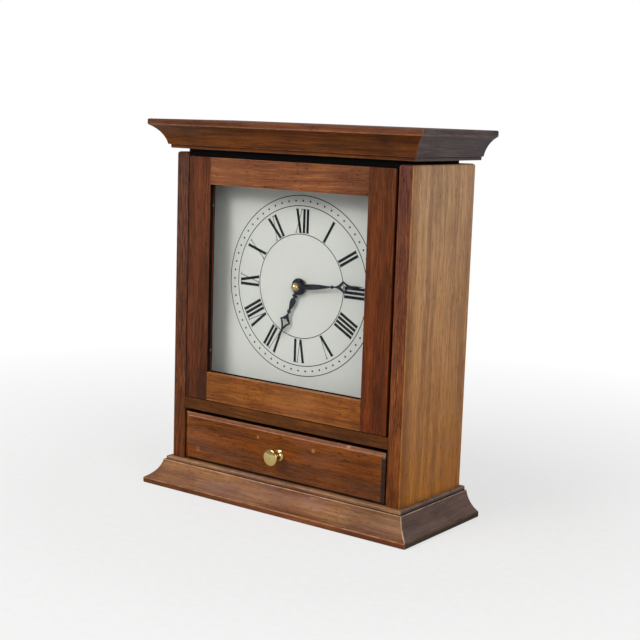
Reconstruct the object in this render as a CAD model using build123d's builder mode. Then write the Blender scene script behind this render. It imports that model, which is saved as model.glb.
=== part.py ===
from build123d import *
import os
from math import asin, copysign, cos, pi, radians, sin

# Wooden desk clock, in millimetres. The origin is under the middle of the base,
# the front faces -Y, and Z points up. A hand that turns clockwise turns about +Y.

os.makedirs("parts", exist_ok=True)

# Case
case_width = 237.0
case_depth = 92.0
side_height = 266.0
side_thickness = 12.7
side_arris = 0.8
side_corner_round = 2.0
crown_lift = 2.8

# Moulding stock of base and crown, as it lies on the base
moulding_height = 24.0
moulding_projection = 18.4
moulding_overhang = 2.0
lip_height = 4.8
lip_round = 1.3
cove_end = 6.0
cove_sag = 2.4
bead_height = 3.0
bead_projection = 4.2
bead_round = 0.8

# Boards between the sides
shelf_thickness = 9.6
shelf_top = 79.1
shelf_housing = 4.0
shelf_setback = 12.0
top_board_thickness = 5.8
top_board_setback = 0.8
cleat_size = 12.7
dial_board_thickness = 6.0
dial_board_groove = 4.0
back_panel_thickness = 4.0
back_rabbet = 6.0
access_width = 130.0
access_height = 140.0
access_round = 12.0
glue_line = 0.1

# Door
door_gap_left = 0.5
door_gap_right = 2.6
door_gap_bottom = 0.6
door_gap_top = 0.4
door_thickness = 12.7
stile_width = 24.4
top_rail_height = 22.6
bottom_rail_height = 24.5
door_lip = 4.0
glass_rabbet = 6.0
glass_thickness = 2.0
glass_play = 0.5
tenon_length = 10.0
tenon_thickness = 4.2
tenon_shoulder = 3.0
door_arris = 0.4
hinge_arris = 1.5
pivot_inset = 2.8
pivot_setback = 2.4
pivot_radius = 0.9
pivot_depth_door = 8.0
pivot_depth_case = 4.6
pivot_washer_radius = 2.2
glazing_pin_radius = 0.6
glazing_pin_head_radius = 1.0
glazing_pin_head = 0.5
glazing_pin_reach = 3.6
glazing_pin_bite = 6.0
glazing_pin_spread = 62.0
glazing_pin_spread_across = 45.0

# Catch
stop_width = 9.4
stop_height = 22.0
catch_radius = 2.4
magnet_length = 4.0
strike_length = 6.0
catch_inset = 6.0
stop_gap = 0.3

# Drawer
drawer_gap_side = 1.7
drawer_gap_below = 1.2
drawer_gap_above = 3.2
drawer_gap_behind = 4.0
drawer_front_thickness = 12.7
drawer_wood = 6.35
drawer_wall_height = 37.0
drawer_lap = 8.0
drawer_bottom_thickness = 3.2
drawer_bottom_lift = 4.0
drawer_groove = 3.0
drawer_bevel_width = 3.0
drawer_bevel_depth = 1.1
runner_gap = 0.3

# Drawer knob
knob_height = 20.8
knob_radius = 6.85
knob_length = 13.8
knob_collar_radius = 4.75
knob_collar_length = 1.2
knob_neck_radius = 2.4
knob_neck_share = 0.34
knob_disc_share = 0.80
knob_edge_share = 0.92
knob_edge_round = 0.8
knob_screw_radius = 1.9
knob_screw_depth = 8.0
pan_head_radius = 3.6
pan_head_height = 2.4

# Dial
dial_margin_side = 9.8
dial_margin_below = 22.8
dial_margin_above = 19.9
dial_thickness = 0.8
dial_setback = 22.4

# Wood screws
screw_radius = 1.75
screw_head_radius = 3.5
screw_head_height = 2.6
screw_head_recess = 0.6
base_screw_bite = 16.0
crown_screw_bite = 11.0
base_screw_inset_share = 0.25
crown_screw_inset = 14.0
panel_screw_radius = 1.3
panel_screw_head_radius = 2.8
panel_screw_head_height = 1.5
panel_screw_bite = 9.0
panel_screw_rows = 4
panel_screw_end = 18.0

# Movement housing
movement_depth = 16.0
movement_wall = 1.5
wheel_gap = 0.4
gasket_thickness = 0.8
gasket_radius = 10.0
battery_radius = 7.2
battery_length = 50.5
battery_nub_radius = 2.7
battery_nub_length = 1.3
battery_play = 0.4
battery_wall = 1.2
contact_room = 1.25
contact_thickness = 0.5
contact_width = 10.0
contact_leaf_thickness = 0.3
contact_leaf_height = 8.0

# Hand shaft, measured forwards from the dial face
bush_radius = 4.0
bush_bore = 2.6
bush_reach = 2.3
bush_flange_radius = 5.6
dial_hole_play = 0.2
dial_washer_radius = 6.6
dial_washer_thickness = 0.5
nut_across_flats = 11.0
nut_thickness = 1.5
hour_tube_radius = 2.5
hour_tube_bore = 1.68
arbor_radius = 1.6
running_gap = 0.05
hand_thickness = 0.6
hour_hand_height = 2.6
minute_hand_height = 5.0
cap_radius = 3.5
cap_height = 5.0
cap_rim = 1.2
cap_bore_depth = 2.6

# Hands
hour_hand_bearing = 203.0
minute_hand_bearing = 84.2
hour_boss_radius = 7.0
hour_hand_length = 47.2
hour_diamond_half = 5.65
hour_window_half = 3.9
hour_point_half = 0.95
hour_leaf_half = 2.6
hour_collar_half = 2.5
hour_stem_half = 1.3
hour_ball_radius = 1.75
minute_boss_radius = 5.0
minute_hand_length = 66.0
minute_diamond_half = 5.0
minute_window_half = 3.5
minute_point_half = 1.1
minute_leaf_half = 2.35
minute_ball_radius = 1.4
hand_neck_half = 0.65
hand_tip_half = 0.25
diamond_bow = 0.6
bow_steps = 5
leaf_swell_share = 0.62
leaf_steps = 10

# Places along the hour hand as shares of its length
hour_collar_start_share = 0.165
hour_collar_end_share = 0.205
hour_leaf_start_share = 0.222
hour_leaf_end_share = 0.470
hour_ball_share = 0.496
hour_diamond_start_share = 0.551
hour_diamond_wide_share = 0.688
hour_diamond_end_share = 0.852
hour_window_start_share = 0.640
hour_window_end_share = 0.815

# Places along the minute hand as shares of its length
minute_leaf_start_share = 0.080
minute_leaf_end_share = 0.515
minute_ball_share = 0.541
minute_diamond_start_share = 0.600
minute_diamond_wide_share = 0.712
minute_diamond_end_share = 0.820
minute_window_start_share = 0.666
minute_window_end_share = 0.795

# Gears: numbers of teeth, modules in millimetres, and directions in degrees
centre_teeth = 64
third_pinion_teeth = 8
third_teeth = 60
cannon_teeth = 10
minute_wheel_teeth = 30
minute_pinion_teeth = 8
hour_teeth = 32
setting_teeth = 12
train_module = 0.3
third_module = 0.25
motion_module = 0.5
half_circle = 180.0
tooth_tip_share = 0.11
tooth_root_share = 0.27
addendum_share = 0.75
dedendum_share = 1.1
minute_wheel_direction = 150.0
third_wheel_direction = 30.0
post_radius = 0.8
pivot_pin_radius = 0.5
setting_shaft_radius = 1.0
setting_knob_radius = 5.0
setting_knob_length = 3.0
setting_knob_flutes = 12
setting_flute_radius = 0.7

# Layers of the wheels, measured back from the front of the movement
hour_layer = 2.0
hour_layer_thickness = 1.0
minute_layer = 3.5
minute_layer_thickness = 0.8
centre_layer = 5.2
centre_layer_thickness = 0.8
third_layer = 7.0
third_layer_thickness = 0.7
pinion_margin = 0.1
pivot_socket = 0.9

# Motor and circuit
coil_radius = 4.0
coil_length = 13.0
coil_flange = 1.0
coil_flange_radius = 5.0
coil_gap = 2.4
coil_inset = 1.0
stator_thickness = 1.2
stator_width = 4.0
stator_layer = 8.6
drive_unit_height = 8.0
drive_unit_depth = 9.0
drive_unit_gap = 0.4
circuit_width = 20.0
circuit_height = 11.0
circuit_thickness = 1.0
circuit_inset = 1.0
crystal_radius = 1.5
crystal_length = 8.0

overrun = 1.0

# Places that follow from the sizes
overall_depth = moulding_projection + case_depth + moulding_overhang
front_y = moulding_projection - overall_depth / 2
back_y = front_y + case_depth
rear_y = back_y + moulding_overhang
outer_x = case_width / 2
inner_x = outer_x - side_thickness
base_top = moulding_height
side_top = base_top + side_height
crown_bottom = side_top + crown_lift
crown_top = crown_bottom + moulding_height
top_board_bottom = crown_bottom - top_board_thickness
shelf_bottom = shelf_top - shelf_thickness
panel_y = back_y - back_panel_thickness

door_left = door_gap_left - inner_x
door_right = inner_x - door_gap_right
door_bottom = shelf_top + door_gap_bottom
door_top = top_board_bottom - door_gap_top
door_back = front_y + door_thickness
opening_left = door_left + stile_width
opening_right = door_right - stile_width
opening_bottom = door_bottom + bottom_rail_height
opening_top = door_top - top_rail_height
opening_x = (opening_left + opening_right) / 2
opening_z = (opening_bottom + opening_top) / 2
pivot_x = door_left + pivot_inset
pivot_y = front_y + pivot_setback

dial_half_width = inner_x - dial_margin_side
dial_bottom = shelf_top + dial_margin_below
dial_top = top_board_bottom - dial_margin_above
dial_centre_z = (dial_bottom + dial_top) / 2
dial_y = front_y + dial_setback
dial_board_y = dial_y + dial_thickness
dial_board_back = dial_board_y + dial_board_thickness
movement_y = dial_board_back + gasket_thickness
movement_back = movement_y + movement_depth

drawer_half = inner_x - drawer_gap_side
drawer_bottom_z = base_top + drawer_gap_below
drawer_top_z = shelf_bottom - drawer_gap_above
drawer_wall_z = base_top + runner_gap
drawer_inner_y = front_y + drawer_front_thickness
drawer_lap_y = drawer_inner_y - drawer_lap
drawer_back_y = panel_y - drawer_gap_behind
drawer_panel_z = drawer_wall_z + drawer_bottom_lift
knob_z = drawer_bottom_z + knob_height
wall_x = drawer_half - drawer_wood
wall_top = drawer_wall_z + drawer_wall_height
panel_top = drawer_panel_z + drawer_bottom_thickness
screw_bore = knob_screw_radius + glue_line


def along_y(y, x=0.0, z=0.0):
    """Plane that faces the front at depth y: its own x runs right and its own y runs up."""
    return Plane(origin=(x, y, z), x_dir=(1, 0, 0), z_dir=(0, -1, 0))


def hand_plane(y, bearing):
    """Plane that faces the front, turned so that its own y runs along a hand."""
    turn = radians(bearing)
    return Plane(origin=(0, y, dial_centre_z), x_dir=(cos(turn), 0, -sin(turn)), z_dir=(0, -1, 0))


def block(x0, x1, y0, y1, z0, z1, mode=Mode.ADD):
    """Rectangular block between two opposite corners."""
    middle = ((x0 + x1) / 2, (y0 + y1) / 2)
    with BuildSketch(Plane.XY.offset(z0)) as footprint:
        with Locations(middle):
            Rectangle(x1 - x0, y1 - y0)
    extrude(footprint.sketch, amount=z1 - z0, mode=mode)


def rod_along_y(x, z, y0, y1, radius, mode=Mode.ADD):
    """Round rod from y0 back to y1, with its axis along Y."""
    with BuildSketch(along_y(y1, x, z)) as section:
        Circle(radius)
    extrude(section.sketch, amount=y1 - y0, mode=mode)


def rod_along_z(x, y, z0, z1, radius, mode=Mode.ADD):
    """Round rod from z0 up to z1."""
    with BuildSketch(Plane.XY.offset(z0)) as section:
        with Locations((x, y)):
            Circle(radius)
    extrude(section.sketch, amount=z1 - z0, mode=mode)


def dome_middle(radius, base, tip):
    """Point half way along the section of a round dome, from its rim at base to its tip."""
    height = tip - base
    sphere = (radius ** 2 + height ** 2) / (2 * abs(height))
    half_turn = asin(radius / sphere) / 2
    return sphere * sin(half_turn), tip - copysign(sphere * (1 - cos(half_turn)), height)


def save(piece, name):
    """Label a finished piece and write its file."""
    piece.part.label = name
    export_step(piece.part, "parts/" + name + ".step")


# Mouldings: one section of stock for base and crown, mitred at the front corners


def moulding_strip(outward, upward, corner, run):
    """Length of moulding stock that starts at a corner of the case and follows run."""
    stock = Plane(origin=corner, x_dir=outward, z_dir=Vector(*outward).cross(Vector(*upward)))
    cove_top = moulding_height - bead_height
    chord = Vector(cove_end - moulding_projection, cove_top - lip_height)
    middle = Vector(cove_end + moulding_projection, lip_height + cove_top) / 2
    deepest = middle - Vector(chord.Y, -chord.X).normalized() * cove_sag
    with BuildPart() as strip:
        with BuildSketch(stock) as section:
            with BuildLine():
                Polyline(
                    (moulding_projection, lip_height),
                    (moulding_projection, 0),
                    (0, 0),
                    (0, moulding_height),
                    (bead_projection, moulding_height),
                    (bead_projection, cove_top),
                    (cove_end, cove_top),
                )
                ThreePointArc(
                    (cove_end, cove_top), (deepest.X, deepest.Y), (moulding_projection, lip_height)
                )
            make_face()
            fillet(section.vertices().group_by(Axis.X)[-1], lip_round)
            fillet(section.vertices().sort_by_distance((bead_projection, moulding_height))[0], bead_round)
        extrude(section.sketch, amount=run, both=True)
    return strip


def frame_mouldings(bottom, upward):
    """Front and right-hand strips round a board, with the mitre cut at the corner."""
    level = bottom if upward > 0 else bottom + moulding_height
    corner = Plane(origin=(outer_x, front_y, bottom), z_dir=(1, 1, 0))
    front_strip = moulding_strip((0, -1, 0), (0, 0, upward), (0, front_y, level), case_width)
    side_strip = moulding_strip((1, 0, 0), (0, 0, upward), (outer_x, rear_y, level), overall_depth)
    with BuildPart() as front:
        add(front_strip.part)
        split(bisect_by=corner, keep=Keep.BOTTOM)
        split(bisect_by=Plane(origin=(-outer_x, front_y, bottom), z_dir=(-1, 1, 0)), keep=Keep.BOTTOM)
    with BuildPart() as right:
        add(side_strip.part)
        split(bisect_by=corner, keep=Keep.TOP)
        split(bisect_by=Plane(origin=(outer_x, rear_y, bottom), z_dir=(0, 1, 0)), keep=Keep.BOTTOM)
    with BuildPart() as left:
        mirror(right.part, about=Plane.YZ)
    return front, left, right


# Screws and their holes

base_screw_x = outer_x - side_thickness / 2
base_screw_ys = (
    front_y + case_depth * base_screw_inset_share,
    back_y - case_depth * base_screw_inset_share,
)
base_screw_places = [(sign * base_screw_x, y) for sign in (-1, 1) for y in base_screw_ys]
base_screw_bottom = screw_head_recess
base_screw_top = base_top + base_screw_bite

crown_screw_x = inner_x - cleat_size / 2
crown_screw_ys = (dial_board_back + crown_screw_inset, panel_y - crown_screw_inset)
crown_screw_places = [(sign * crown_screw_x, y) for sign in (-1, 1) for y in crown_screw_ys]
cleat_bottom = top_board_bottom - cleat_size
crown_screw_bottom = cleat_bottom + screw_head_recess
crown_screw_top = crown_bottom + crown_screw_bite

panel_screw_x = inner_x + back_rabbet / 2
panel_screw_step = (side_height - panel_screw_end * 2) / (panel_screw_rows - 1)
panel_screw_foot = base_top + panel_screw_end
panel_screw_heights = [panel_screw_foot + row * panel_screw_step for row in range(panel_screw_rows)]
panel_screw_places = [(sign * panel_screw_x, z) for sign in (-1, 1) for z in panel_screw_heights]


def upright_screws(places, bottom, top):
    """Countersunk wood screws with their heads down, one at each place."""
    with BuildPart() as screws:
        for x, y in places:
            with BuildSketch(Plane.XZ.offset(-y)) as profile:
                with BuildLine():
                    Polyline(
                        (x, bottom),
                        (x + screw_head_radius, bottom),
                        (x + screw_radius, bottom + screw_head_height),
                        (x + screw_radius, top - screw_radius),
                        (x, top),
                        (x, bottom),
                    )
                make_face()
            revolve(profile.sketch, axis=Axis((x, y, 0), (0, 0, 1)))
    return screws


def upright_screw_holes(places, bottom, top):
    """Countersunk holes that take those screws, cut from the piece in hand."""
    seat = screw_head_radius + glue_line
    bore = screw_radius + glue_line
    for x, y in places:
        with BuildSketch(Plane.XZ.offset(-y)) as profile:
            with BuildLine():
                Polyline(
                    (x, bottom - overrun),
                    (x + seat, bottom - overrun),
                    (x + seat, bottom),
                    (x + bore, bottom + screw_head_height),
                    (x + bore, top),
                    (x, top),
                    (x, bottom - overrun),
                )
            make_face()
        revolve(profile.sketch, axis=Axis((x, y, 0), (0, 0, 1)), mode=Mode.SUBTRACT)


# Base

with BuildPart() as base_board:
    block(-outer_x, outer_x, front_y, rear_y, 0, base_top)
    upright_screw_holes(base_screw_places, base_screw_bottom, base_top + overrun)
save(base_board, "base_board")

base_front, base_left, base_right = frame_mouldings(0, 1)
save(base_front, "base_moulding_front")
save(base_left, "base_moulding_left")
save(base_right, "base_moulding_right")

base_screws = upright_screws(base_screw_places, base_screw_bottom, base_screw_top)
save(base_screws, "base_screws")

# Sides

with BuildPart() as right_side:
    block(inner_x, outer_x, front_y, back_y, base_top, side_top)
    long_edges = right_side.edges().filter_by(Axis.Z).group_by(Axis.Y)
    fillet(long_edges[0], side_arris)
    top_edges = right_side.edges().filter_by(Axis.X).group_by(Axis.Z)[-1]
    fillet(top_edges, side_corner_round)
    groove_x = inner_x + dial_board_groove
    groove_y0 = dial_board_y - glue_line
    groove_y1 = dial_board_back + glue_line
    block(inner_x - overrun, groove_x, groove_y0, groove_y1, shelf_bottom, top_board_bottom, Mode.SUBTRACT)
    housing_x = inner_x + shelf_housing
    housing_y = front_y + shelf_setback
    block(inner_x - overrun, housing_x, housing_y, panel_y, shelf_bottom, shelf_top, Mode.SUBTRACT)
    rabbet_x = inner_x + back_rabbet
    block(
        inner_x - overrun, rabbet_x, panel_y, back_y + overrun, base_top, side_top + overrun, Mode.SUBTRACT
    )
    for x, y in base_screw_places:
        if x > 0:
            rod_along_z(
                x, y, base_top - overrun, base_screw_top + glue_line, screw_radius + glue_line, Mode.SUBTRACT
            )
    for z in panel_screw_heights:
        hole_y = panel_y + panel_screw_radius - panel_screw_bite
        rod_along_y(
            panel_screw_x, z, hole_y, panel_y + overrun, panel_screw_radius + glue_line, Mode.SUBTRACT
        )
save(right_side, "right_side")

with BuildPart() as left_side:
    mirror(right_side.part, about=Plane.YZ)
save(left_side, "left_side")

# Shelf that divides the dial from the drawer

with BuildPart() as shelf:
    block(-inner_x, inner_x, front_y, panel_y, shelf_bottom, shelf_top)
    tongue_x = inner_x + shelf_housing - glue_line
    block(-tongue_x, tongue_x, front_y + shelf_setback + glue_line, panel_y, shelf_bottom, shelf_top)
    pivot_hole_z = shelf_top - pivot_depth_case
    rod_along_z(
        pivot_x, pivot_y, pivot_hole_z, shelf_top + overrun, pivot_radius + running_gap, Mode.SUBTRACT
    )
save(shelf, "shelf")

# Top board, its cleats and the crown

with BuildPart() as top_board:
    block(-inner_x, inner_x, front_y + top_board_setback, panel_y, top_board_bottom, crown_bottom)
    for x, y in crown_screw_places:
        rod_along_z(
            x, y, top_board_bottom - overrun, crown_bottom + overrun, screw_radius + glue_line, Mode.SUBTRACT
        )
    pivot_hole_z = top_board_bottom + pivot_depth_case
    rod_along_z(
        pivot_x, pivot_y, top_board_bottom - overrun, pivot_hole_z, pivot_radius + running_gap, Mode.SUBTRACT
    )
save(top_board, "top_board")

with BuildPart() as right_cleat:
    block(
        inner_x - cleat_size, inner_x, dial_board_back + glue_line, panel_y, cleat_bottom, top_board_bottom
    )
    right_places = [(x, y) for x, y in crown_screw_places if x > 0]
    upright_screw_holes(right_places, crown_screw_bottom, top_board_bottom + overrun)
save(right_cleat, "top_cleat_right")

with BuildPart() as left_cleat:
    mirror(right_cleat.part, about=Plane.YZ)
save(left_cleat, "top_cleat_left")

with BuildPart() as crown_panel:
    block(-outer_x, outer_x, front_y, rear_y, crown_bottom, crown_top)
    for x, y in crown_screw_places:
        rod_along_z(
            x, y, crown_bottom - overrun, crown_screw_top + glue_line, screw_radius + glue_line, Mode.SUBTRACT
        )
save(crown_panel, "crown_panel")

crown_front, crown_left, crown_right = frame_mouldings(crown_bottom, -1)
save(crown_front, "crown_moulding_front")
save(crown_left, "crown_moulding_left")
save(crown_right, "crown_moulding_right")

crown_screws = upright_screws(crown_screw_places, crown_screw_bottom, crown_screw_top)
save(crown_screws, "crown_screws")

# Back panel with its opening behind the movement

with BuildPart() as back_panel:
    panel_x = inner_x + back_rabbet - glue_line
    block(-panel_x, panel_x, panel_y, back_y, base_top, side_top - side_corner_round)
    with BuildSketch(along_y(back_y + overrun, 0.0, dial_centre_z)) as access:
        RectangleRounded(access_width, access_height, access_round)
    extrude(access.sketch, amount=back_panel_thickness + overrun * 2, mode=Mode.SUBTRACT)
    for x, z in panel_screw_places:
        rod_along_y(
            x, z, panel_y - overrun, back_y + overrun, panel_screw_radius + glue_line, Mode.SUBTRACT
        )
save(back_panel, "back_panel")

with BuildPart() as back_screws:
    head_y = back_y + panel_screw_head_height
    tip_y = panel_y - panel_screw_bite + panel_screw_radius * 2
    middle_x, middle_y = dome_middle(panel_screw_head_radius, back_y, head_y)
    for x, z in panel_screw_places:
        with BuildSketch(Plane.XY.offset(z)) as profile:
            with BuildLine():
                Line((x, tip_y), (x + panel_screw_radius, tip_y + panel_screw_radius))
                Line((x + panel_screw_radius, tip_y + panel_screw_radius), (x + panel_screw_radius, back_y))
                Line((x + panel_screw_radius, back_y), (x + panel_screw_head_radius, back_y))
                ThreePointArc((x + panel_screw_head_radius, back_y), (x + middle_x, middle_y), (x, head_y))
                Line((x, head_y), (x, tip_y))
            make_face()
        revolve(profile.sketch, axis=Axis((x, 0, z), (0, 1, 0)))
save(back_screws, "back_panel_screws")

# Door: two stiles, two rails with stub tenons, glass, pins and pivots

pocket_left = opening_left - glass_rabbet
pocket_right = opening_right + glass_rabbet
pocket_bottom = opening_bottom - glass_rabbet
pocket_top = opening_top + glass_rabbet
tenon_y0 = front_y + (door_thickness - tenon_thickness) / 2
tenon_y1 = tenon_y0 + tenon_thickness
rail_tenons = (
    (door_bottom + tenon_shoulder, pocket_bottom - tenon_shoulder),
    (pocket_top + tenon_shoulder, door_top - tenon_shoulder),
)
glazing_pin_y = front_y + door_lip + glass_thickness + glazing_pin_head_radius + running_gap
glazing_pin_bore = glazing_pin_radius + running_gap


def glass_pocket():
    """Rabbet for the glass, cut from the door member in hand."""
    pocket_y = front_y + door_lip
    block(
        pocket_left, pocket_right, pocket_y, door_back + overrun, pocket_bottom, pocket_top, Mode.SUBTRACT
    )


def pivot_hole(z0, z1):
    """Running bore for a hinge pin in the left stile."""
    rod_along_z(pivot_x, pivot_y, z0, z1, pivot_radius + running_gap, Mode.SUBTRACT)


def side_pin_places():
    """Ends and directions of the glazing pins in the two stiles."""
    for z in (opening_z - glazing_pin_spread, opening_z + glazing_pin_spread):
        yield (pocket_left, glazing_pin_y, z), (1, 0, 0)
        yield (pocket_right, glazing_pin_y, z), (-1, 0, 0)


def rail_pin_places():
    """Ends and directions of the glazing pins in the two rails."""
    for x in (opening_x - glazing_pin_spread_across, opening_x + glazing_pin_spread_across):
        yield (x, glazing_pin_y, pocket_bottom), (0, 0, 1)
        yield (x, glazing_pin_y, pocket_top), (0, 0, -1)


def pin_holes(places):
    """Holes for the glazing pins, cut from the door member in hand."""
    for wall, inward in places:
        with BuildSketch(Plane(origin=wall, z_dir=inward)) as section:
            Circle(glazing_pin_bore)
        extrude(section.sketch, amount=-(glazing_pin_bite + running_gap), mode=Mode.SUBTRACT)


with BuildPart() as left_stile:
    block(door_left, opening_left, front_y, door_back, door_bottom, door_top)
    fillet(
        left_stile.edges().filter_by(Axis.Z).sort_by_distance((door_left, front_y, opening_z))[0], hinge_arris
    )
    glass_pocket()
    for z0, z1 in rail_tenons:
        mortise_x = opening_left - tenon_length - glue_line
        block(mortise_x, opening_left + overrun, tenon_y0, tenon_y1, z0, z1, Mode.SUBTRACT)
    pivot_hole(door_bottom - overrun, door_bottom + pivot_depth_door)
    pivot_hole(door_top - pivot_depth_door, door_top + overrun)
    pin_holes(place for place in side_pin_places() if place[0][0] < 0)
save(left_stile, "left_stile")

strike_x = door_right - catch_inset + catch_radius
strike_z = opening_z

with BuildPart() as right_stile:
    block(opening_right, door_right, front_y, door_back, door_bottom, door_top)
    fillet(
        right_stile.edges().filter_by(Axis.Z).sort_by_distance((door_right, front_y, opening_z))[0], door_arris
    )
    glass_pocket()
    for z0, z1 in rail_tenons:
        mortise_x = opening_right + tenon_length + glue_line
        block(opening_right - overrun, mortise_x, tenon_y0, tenon_y1, z0, z1, Mode.SUBTRACT)
    pin_holes(place for place in side_pin_places() if place[0][0] > 0)
    strike_hole_y = door_back - strike_length - running_gap
    rod_along_y(
        strike_x, strike_z, strike_hole_y, door_back + overrun, catch_radius + running_gap, Mode.SUBTRACT
    )
save(right_stile, "right_stile")


def rail(z0, z1, tenon, pins):
    """Door rail between the stiles, with a stub tenon at each end."""
    with BuildPart() as member:
        block(opening_left, opening_right, front_y, door_back, z0, z1)
        glass_pocket()
        tenon_left = opening_left - tenon_length
        tenon_right = opening_right + tenon_length
        block(tenon_left, tenon_right, tenon_y0, tenon_y1, tenon[0], tenon[1])
        pin_holes(pins)
    return member


bottom_pins = [place for place in rail_pin_places() if place[0][2] < opening_z]
top_pins = [place for place in rail_pin_places() if place[0][2] > opening_z]
save(rail(door_bottom, opening_bottom, rail_tenons[0], bottom_pins), "bottom_rail")
save(rail(opening_top, door_top, rail_tenons[1], top_pins), "top_rail")

with BuildPart() as glass:
    glass_y = front_y + door_lip
    block(
        pocket_left + glass_play,
        pocket_right - glass_play,
        glass_y,
        glass_y + glass_thickness,
        pocket_bottom + glass_play,
        pocket_top - glass_play,
    )
save(glass, "glass")

with BuildPart() as glazing_pins:
    for wall, inward in list(side_pin_places()) + list(rail_pin_places()):
        start = Vector(*wall) - Vector(*inward) * glazing_pin_bite
        with BuildSketch(Plane(origin=start, z_dir=inward)) as shank:
            Circle(glazing_pin_radius)
        extrude(shank.sketch, amount=glazing_pin_bite + glazing_pin_reach)
        top = Vector(*wall) + Vector(*inward) * (glazing_pin_reach - glazing_pin_head)
        with BuildSketch(Plane(origin=top, z_dir=inward)) as head:
            Circle(glazing_pin_head_radius)
        extrude(head.sketch, amount=glazing_pin_head)
save(glazing_pins, "glazing_pins")

with BuildPart() as hinge_pins:
    lower_end = shelf_top - pivot_depth_case + running_gap
    upper_end = top_board_bottom + pivot_depth_case - running_gap
    rod_along_z(pivot_x, pivot_y, lower_end, door_bottom + pivot_depth_door - running_gap, pivot_radius)
    rod_along_z(pivot_x, pivot_y, door_top - pivot_depth_door + running_gap, upper_end, pivot_radius)
save(hinge_pins, "hinge_pins")

with BuildPart() as hinge_washer:
    washer_top = door_bottom - running_gap
    rod_along_z(pivot_x, pivot_y, shelf_top, washer_top, pivot_washer_radius)
    rod_along_z(
        pivot_x, pivot_y, shelf_top - overrun, washer_top + overrun, pivot_radius + running_gap, Mode.SUBTRACT
    )
save(hinge_washer, "hinge_washer")

# Catch: a magnet in a stop block behind the right stile, and a steel strike in the stile

stop_y = door_back + stop_gap

with BuildPart() as door_stop:
    block(
        inner_x - stop_width,
        inner_x,
        stop_y,
        dial_board_y,
        strike_z - stop_height / 2,
        strike_z + stop_height / 2,
    )
    magnet_hole_y = stop_y + magnet_length + running_gap
    rod_along_y(
        strike_x, strike_z, stop_y - overrun, magnet_hole_y, catch_radius + running_gap, Mode.SUBTRACT
    )
save(door_stop, "door_stop")

with BuildPart() as catch_magnet:
    rod_along_y(strike_x, strike_z, stop_y, stop_y + magnet_length, catch_radius)
save(catch_magnet, "catch_magnet")

with BuildPart() as catch_strike:
    rod_along_y(strike_x, strike_z, door_back - strike_length, door_back, catch_radius)
save(catch_strike, "catch_strike")

# Drawer

with BuildPart() as drawer_front:
    block(-drawer_half, drawer_half, front_y, drawer_inner_y, drawer_bottom_z, drawer_top_z)
    face_edges = drawer_front.faces().sort_by(Axis.Y)[0].edges()
    chamfer(face_edges, drawer_bevel_depth, drawer_bevel_width)
    lap_x = wall_x - glue_line
    for x0, x1 in ((-drawer_half - overrun, -lap_x), (lap_x, drawer_half + overrun)):
        lap_y = drawer_lap_y - glue_line
        lap_top = wall_top + glue_line
        block(x0, x1, lap_y, drawer_inner_y + overrun, drawer_bottom_z - overrun, lap_top, Mode.SUBTRACT)
    groove_y = drawer_inner_y - drawer_groove
    groove_top = panel_top + glue_line
    groove_z = drawer_panel_z - glue_line
    block(
        -drawer_half, drawer_half, groove_y, drawer_inner_y + overrun, groove_z, groove_top, Mode.SUBTRACT
    )
    rod_along_y(0, knob_z, front_y - overrun, drawer_inner_y + overrun, screw_bore, Mode.SUBTRACT)
save(drawer_front, "drawer_front")

with BuildPart() as drawer_right:
    block(wall_x, drawer_half, drawer_lap_y, drawer_back_y, drawer_wall_z, wall_top)
    block(
        wall_x - overrun,
        wall_x + drawer_groove,
        drawer_lap_y - overrun,
        drawer_back_y + overrun,
        drawer_panel_z - glue_line,
        panel_top + glue_line,
        Mode.SUBTRACT,
    )
save(drawer_right, "drawer_side_right")

with BuildPart() as drawer_left:
    mirror(drawer_right.part, about=Plane.YZ)
save(drawer_left, "drawer_side_left")

with BuildPart() as drawer_bottom:
    panel_half = wall_x + drawer_groove - glue_line
    panel_front = drawer_inner_y - drawer_groove + glue_line
    block(-panel_half, panel_half, panel_front, drawer_back_y, drawer_panel_z, panel_top)
save(drawer_bottom, "drawer_bottom")

with BuildPart() as drawer_back:
    block(-wall_x, wall_x, drawer_back_y - drawer_wood, drawer_back_y, panel_top, wall_top)
save(drawer_back, "drawer_back")

with BuildPart() as drawer_knob:
    neck_y = front_y - knob_length * knob_neck_share
    disc_y = front_y - knob_length * knob_disc_share
    edge_y = front_y - knob_length * knob_edge_share
    tip_y = front_y - knob_length
    with BuildSketch(Plane.XY.offset(knob_z)) as profile:
        with BuildLine():
            Line((0, front_y), (knob_collar_radius, front_y))
            Line((knob_collar_radius, front_y), (knob_collar_radius, front_y - knob_collar_length))
            TangentArc((knob_neck_radius, neck_y), (knob_collar_radius, front_y - knob_collar_length), tangent=(0, 1))
            TangentArc((knob_neck_radius, neck_y), (knob_radius, disc_y), tangent=(0, -1))
            Line((knob_radius, disc_y), (knob_radius, edge_y))
            ThreePointArc((knob_radius, edge_y), dome_middle(knob_radius, edge_y, tip_y), (0, tip_y))
            Line((0, tip_y), (0, front_y))
        make_face()
        fillet(profile.vertices().sort_by_distance((knob_radius, edge_y))[0], knob_edge_round)
    revolve(profile.sketch, axis=Axis((0, 0, knob_z), (0, 1, 0)))
    rod_along_y(
        0, knob_z, front_y - knob_screw_depth - glue_line, front_y + overrun, screw_bore, Mode.SUBTRACT
    )
save(drawer_knob, "drawer_knob")

with BuildPart() as knob_screw:
    rod_along_y(0, knob_z, front_y - knob_screw_depth, drawer_inner_y, knob_screw_radius)
    rod_along_y(0, knob_z, drawer_inner_y, drawer_inner_y + pan_head_height, pan_head_radius)
    fillet(knob_screw.edges().filter_by(GeomType.CIRCLE).sort_by(Axis.Y)[-1], pan_head_height / 2)
save(knob_screw, "knob_screw")

# Dial board and dial plate

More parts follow.
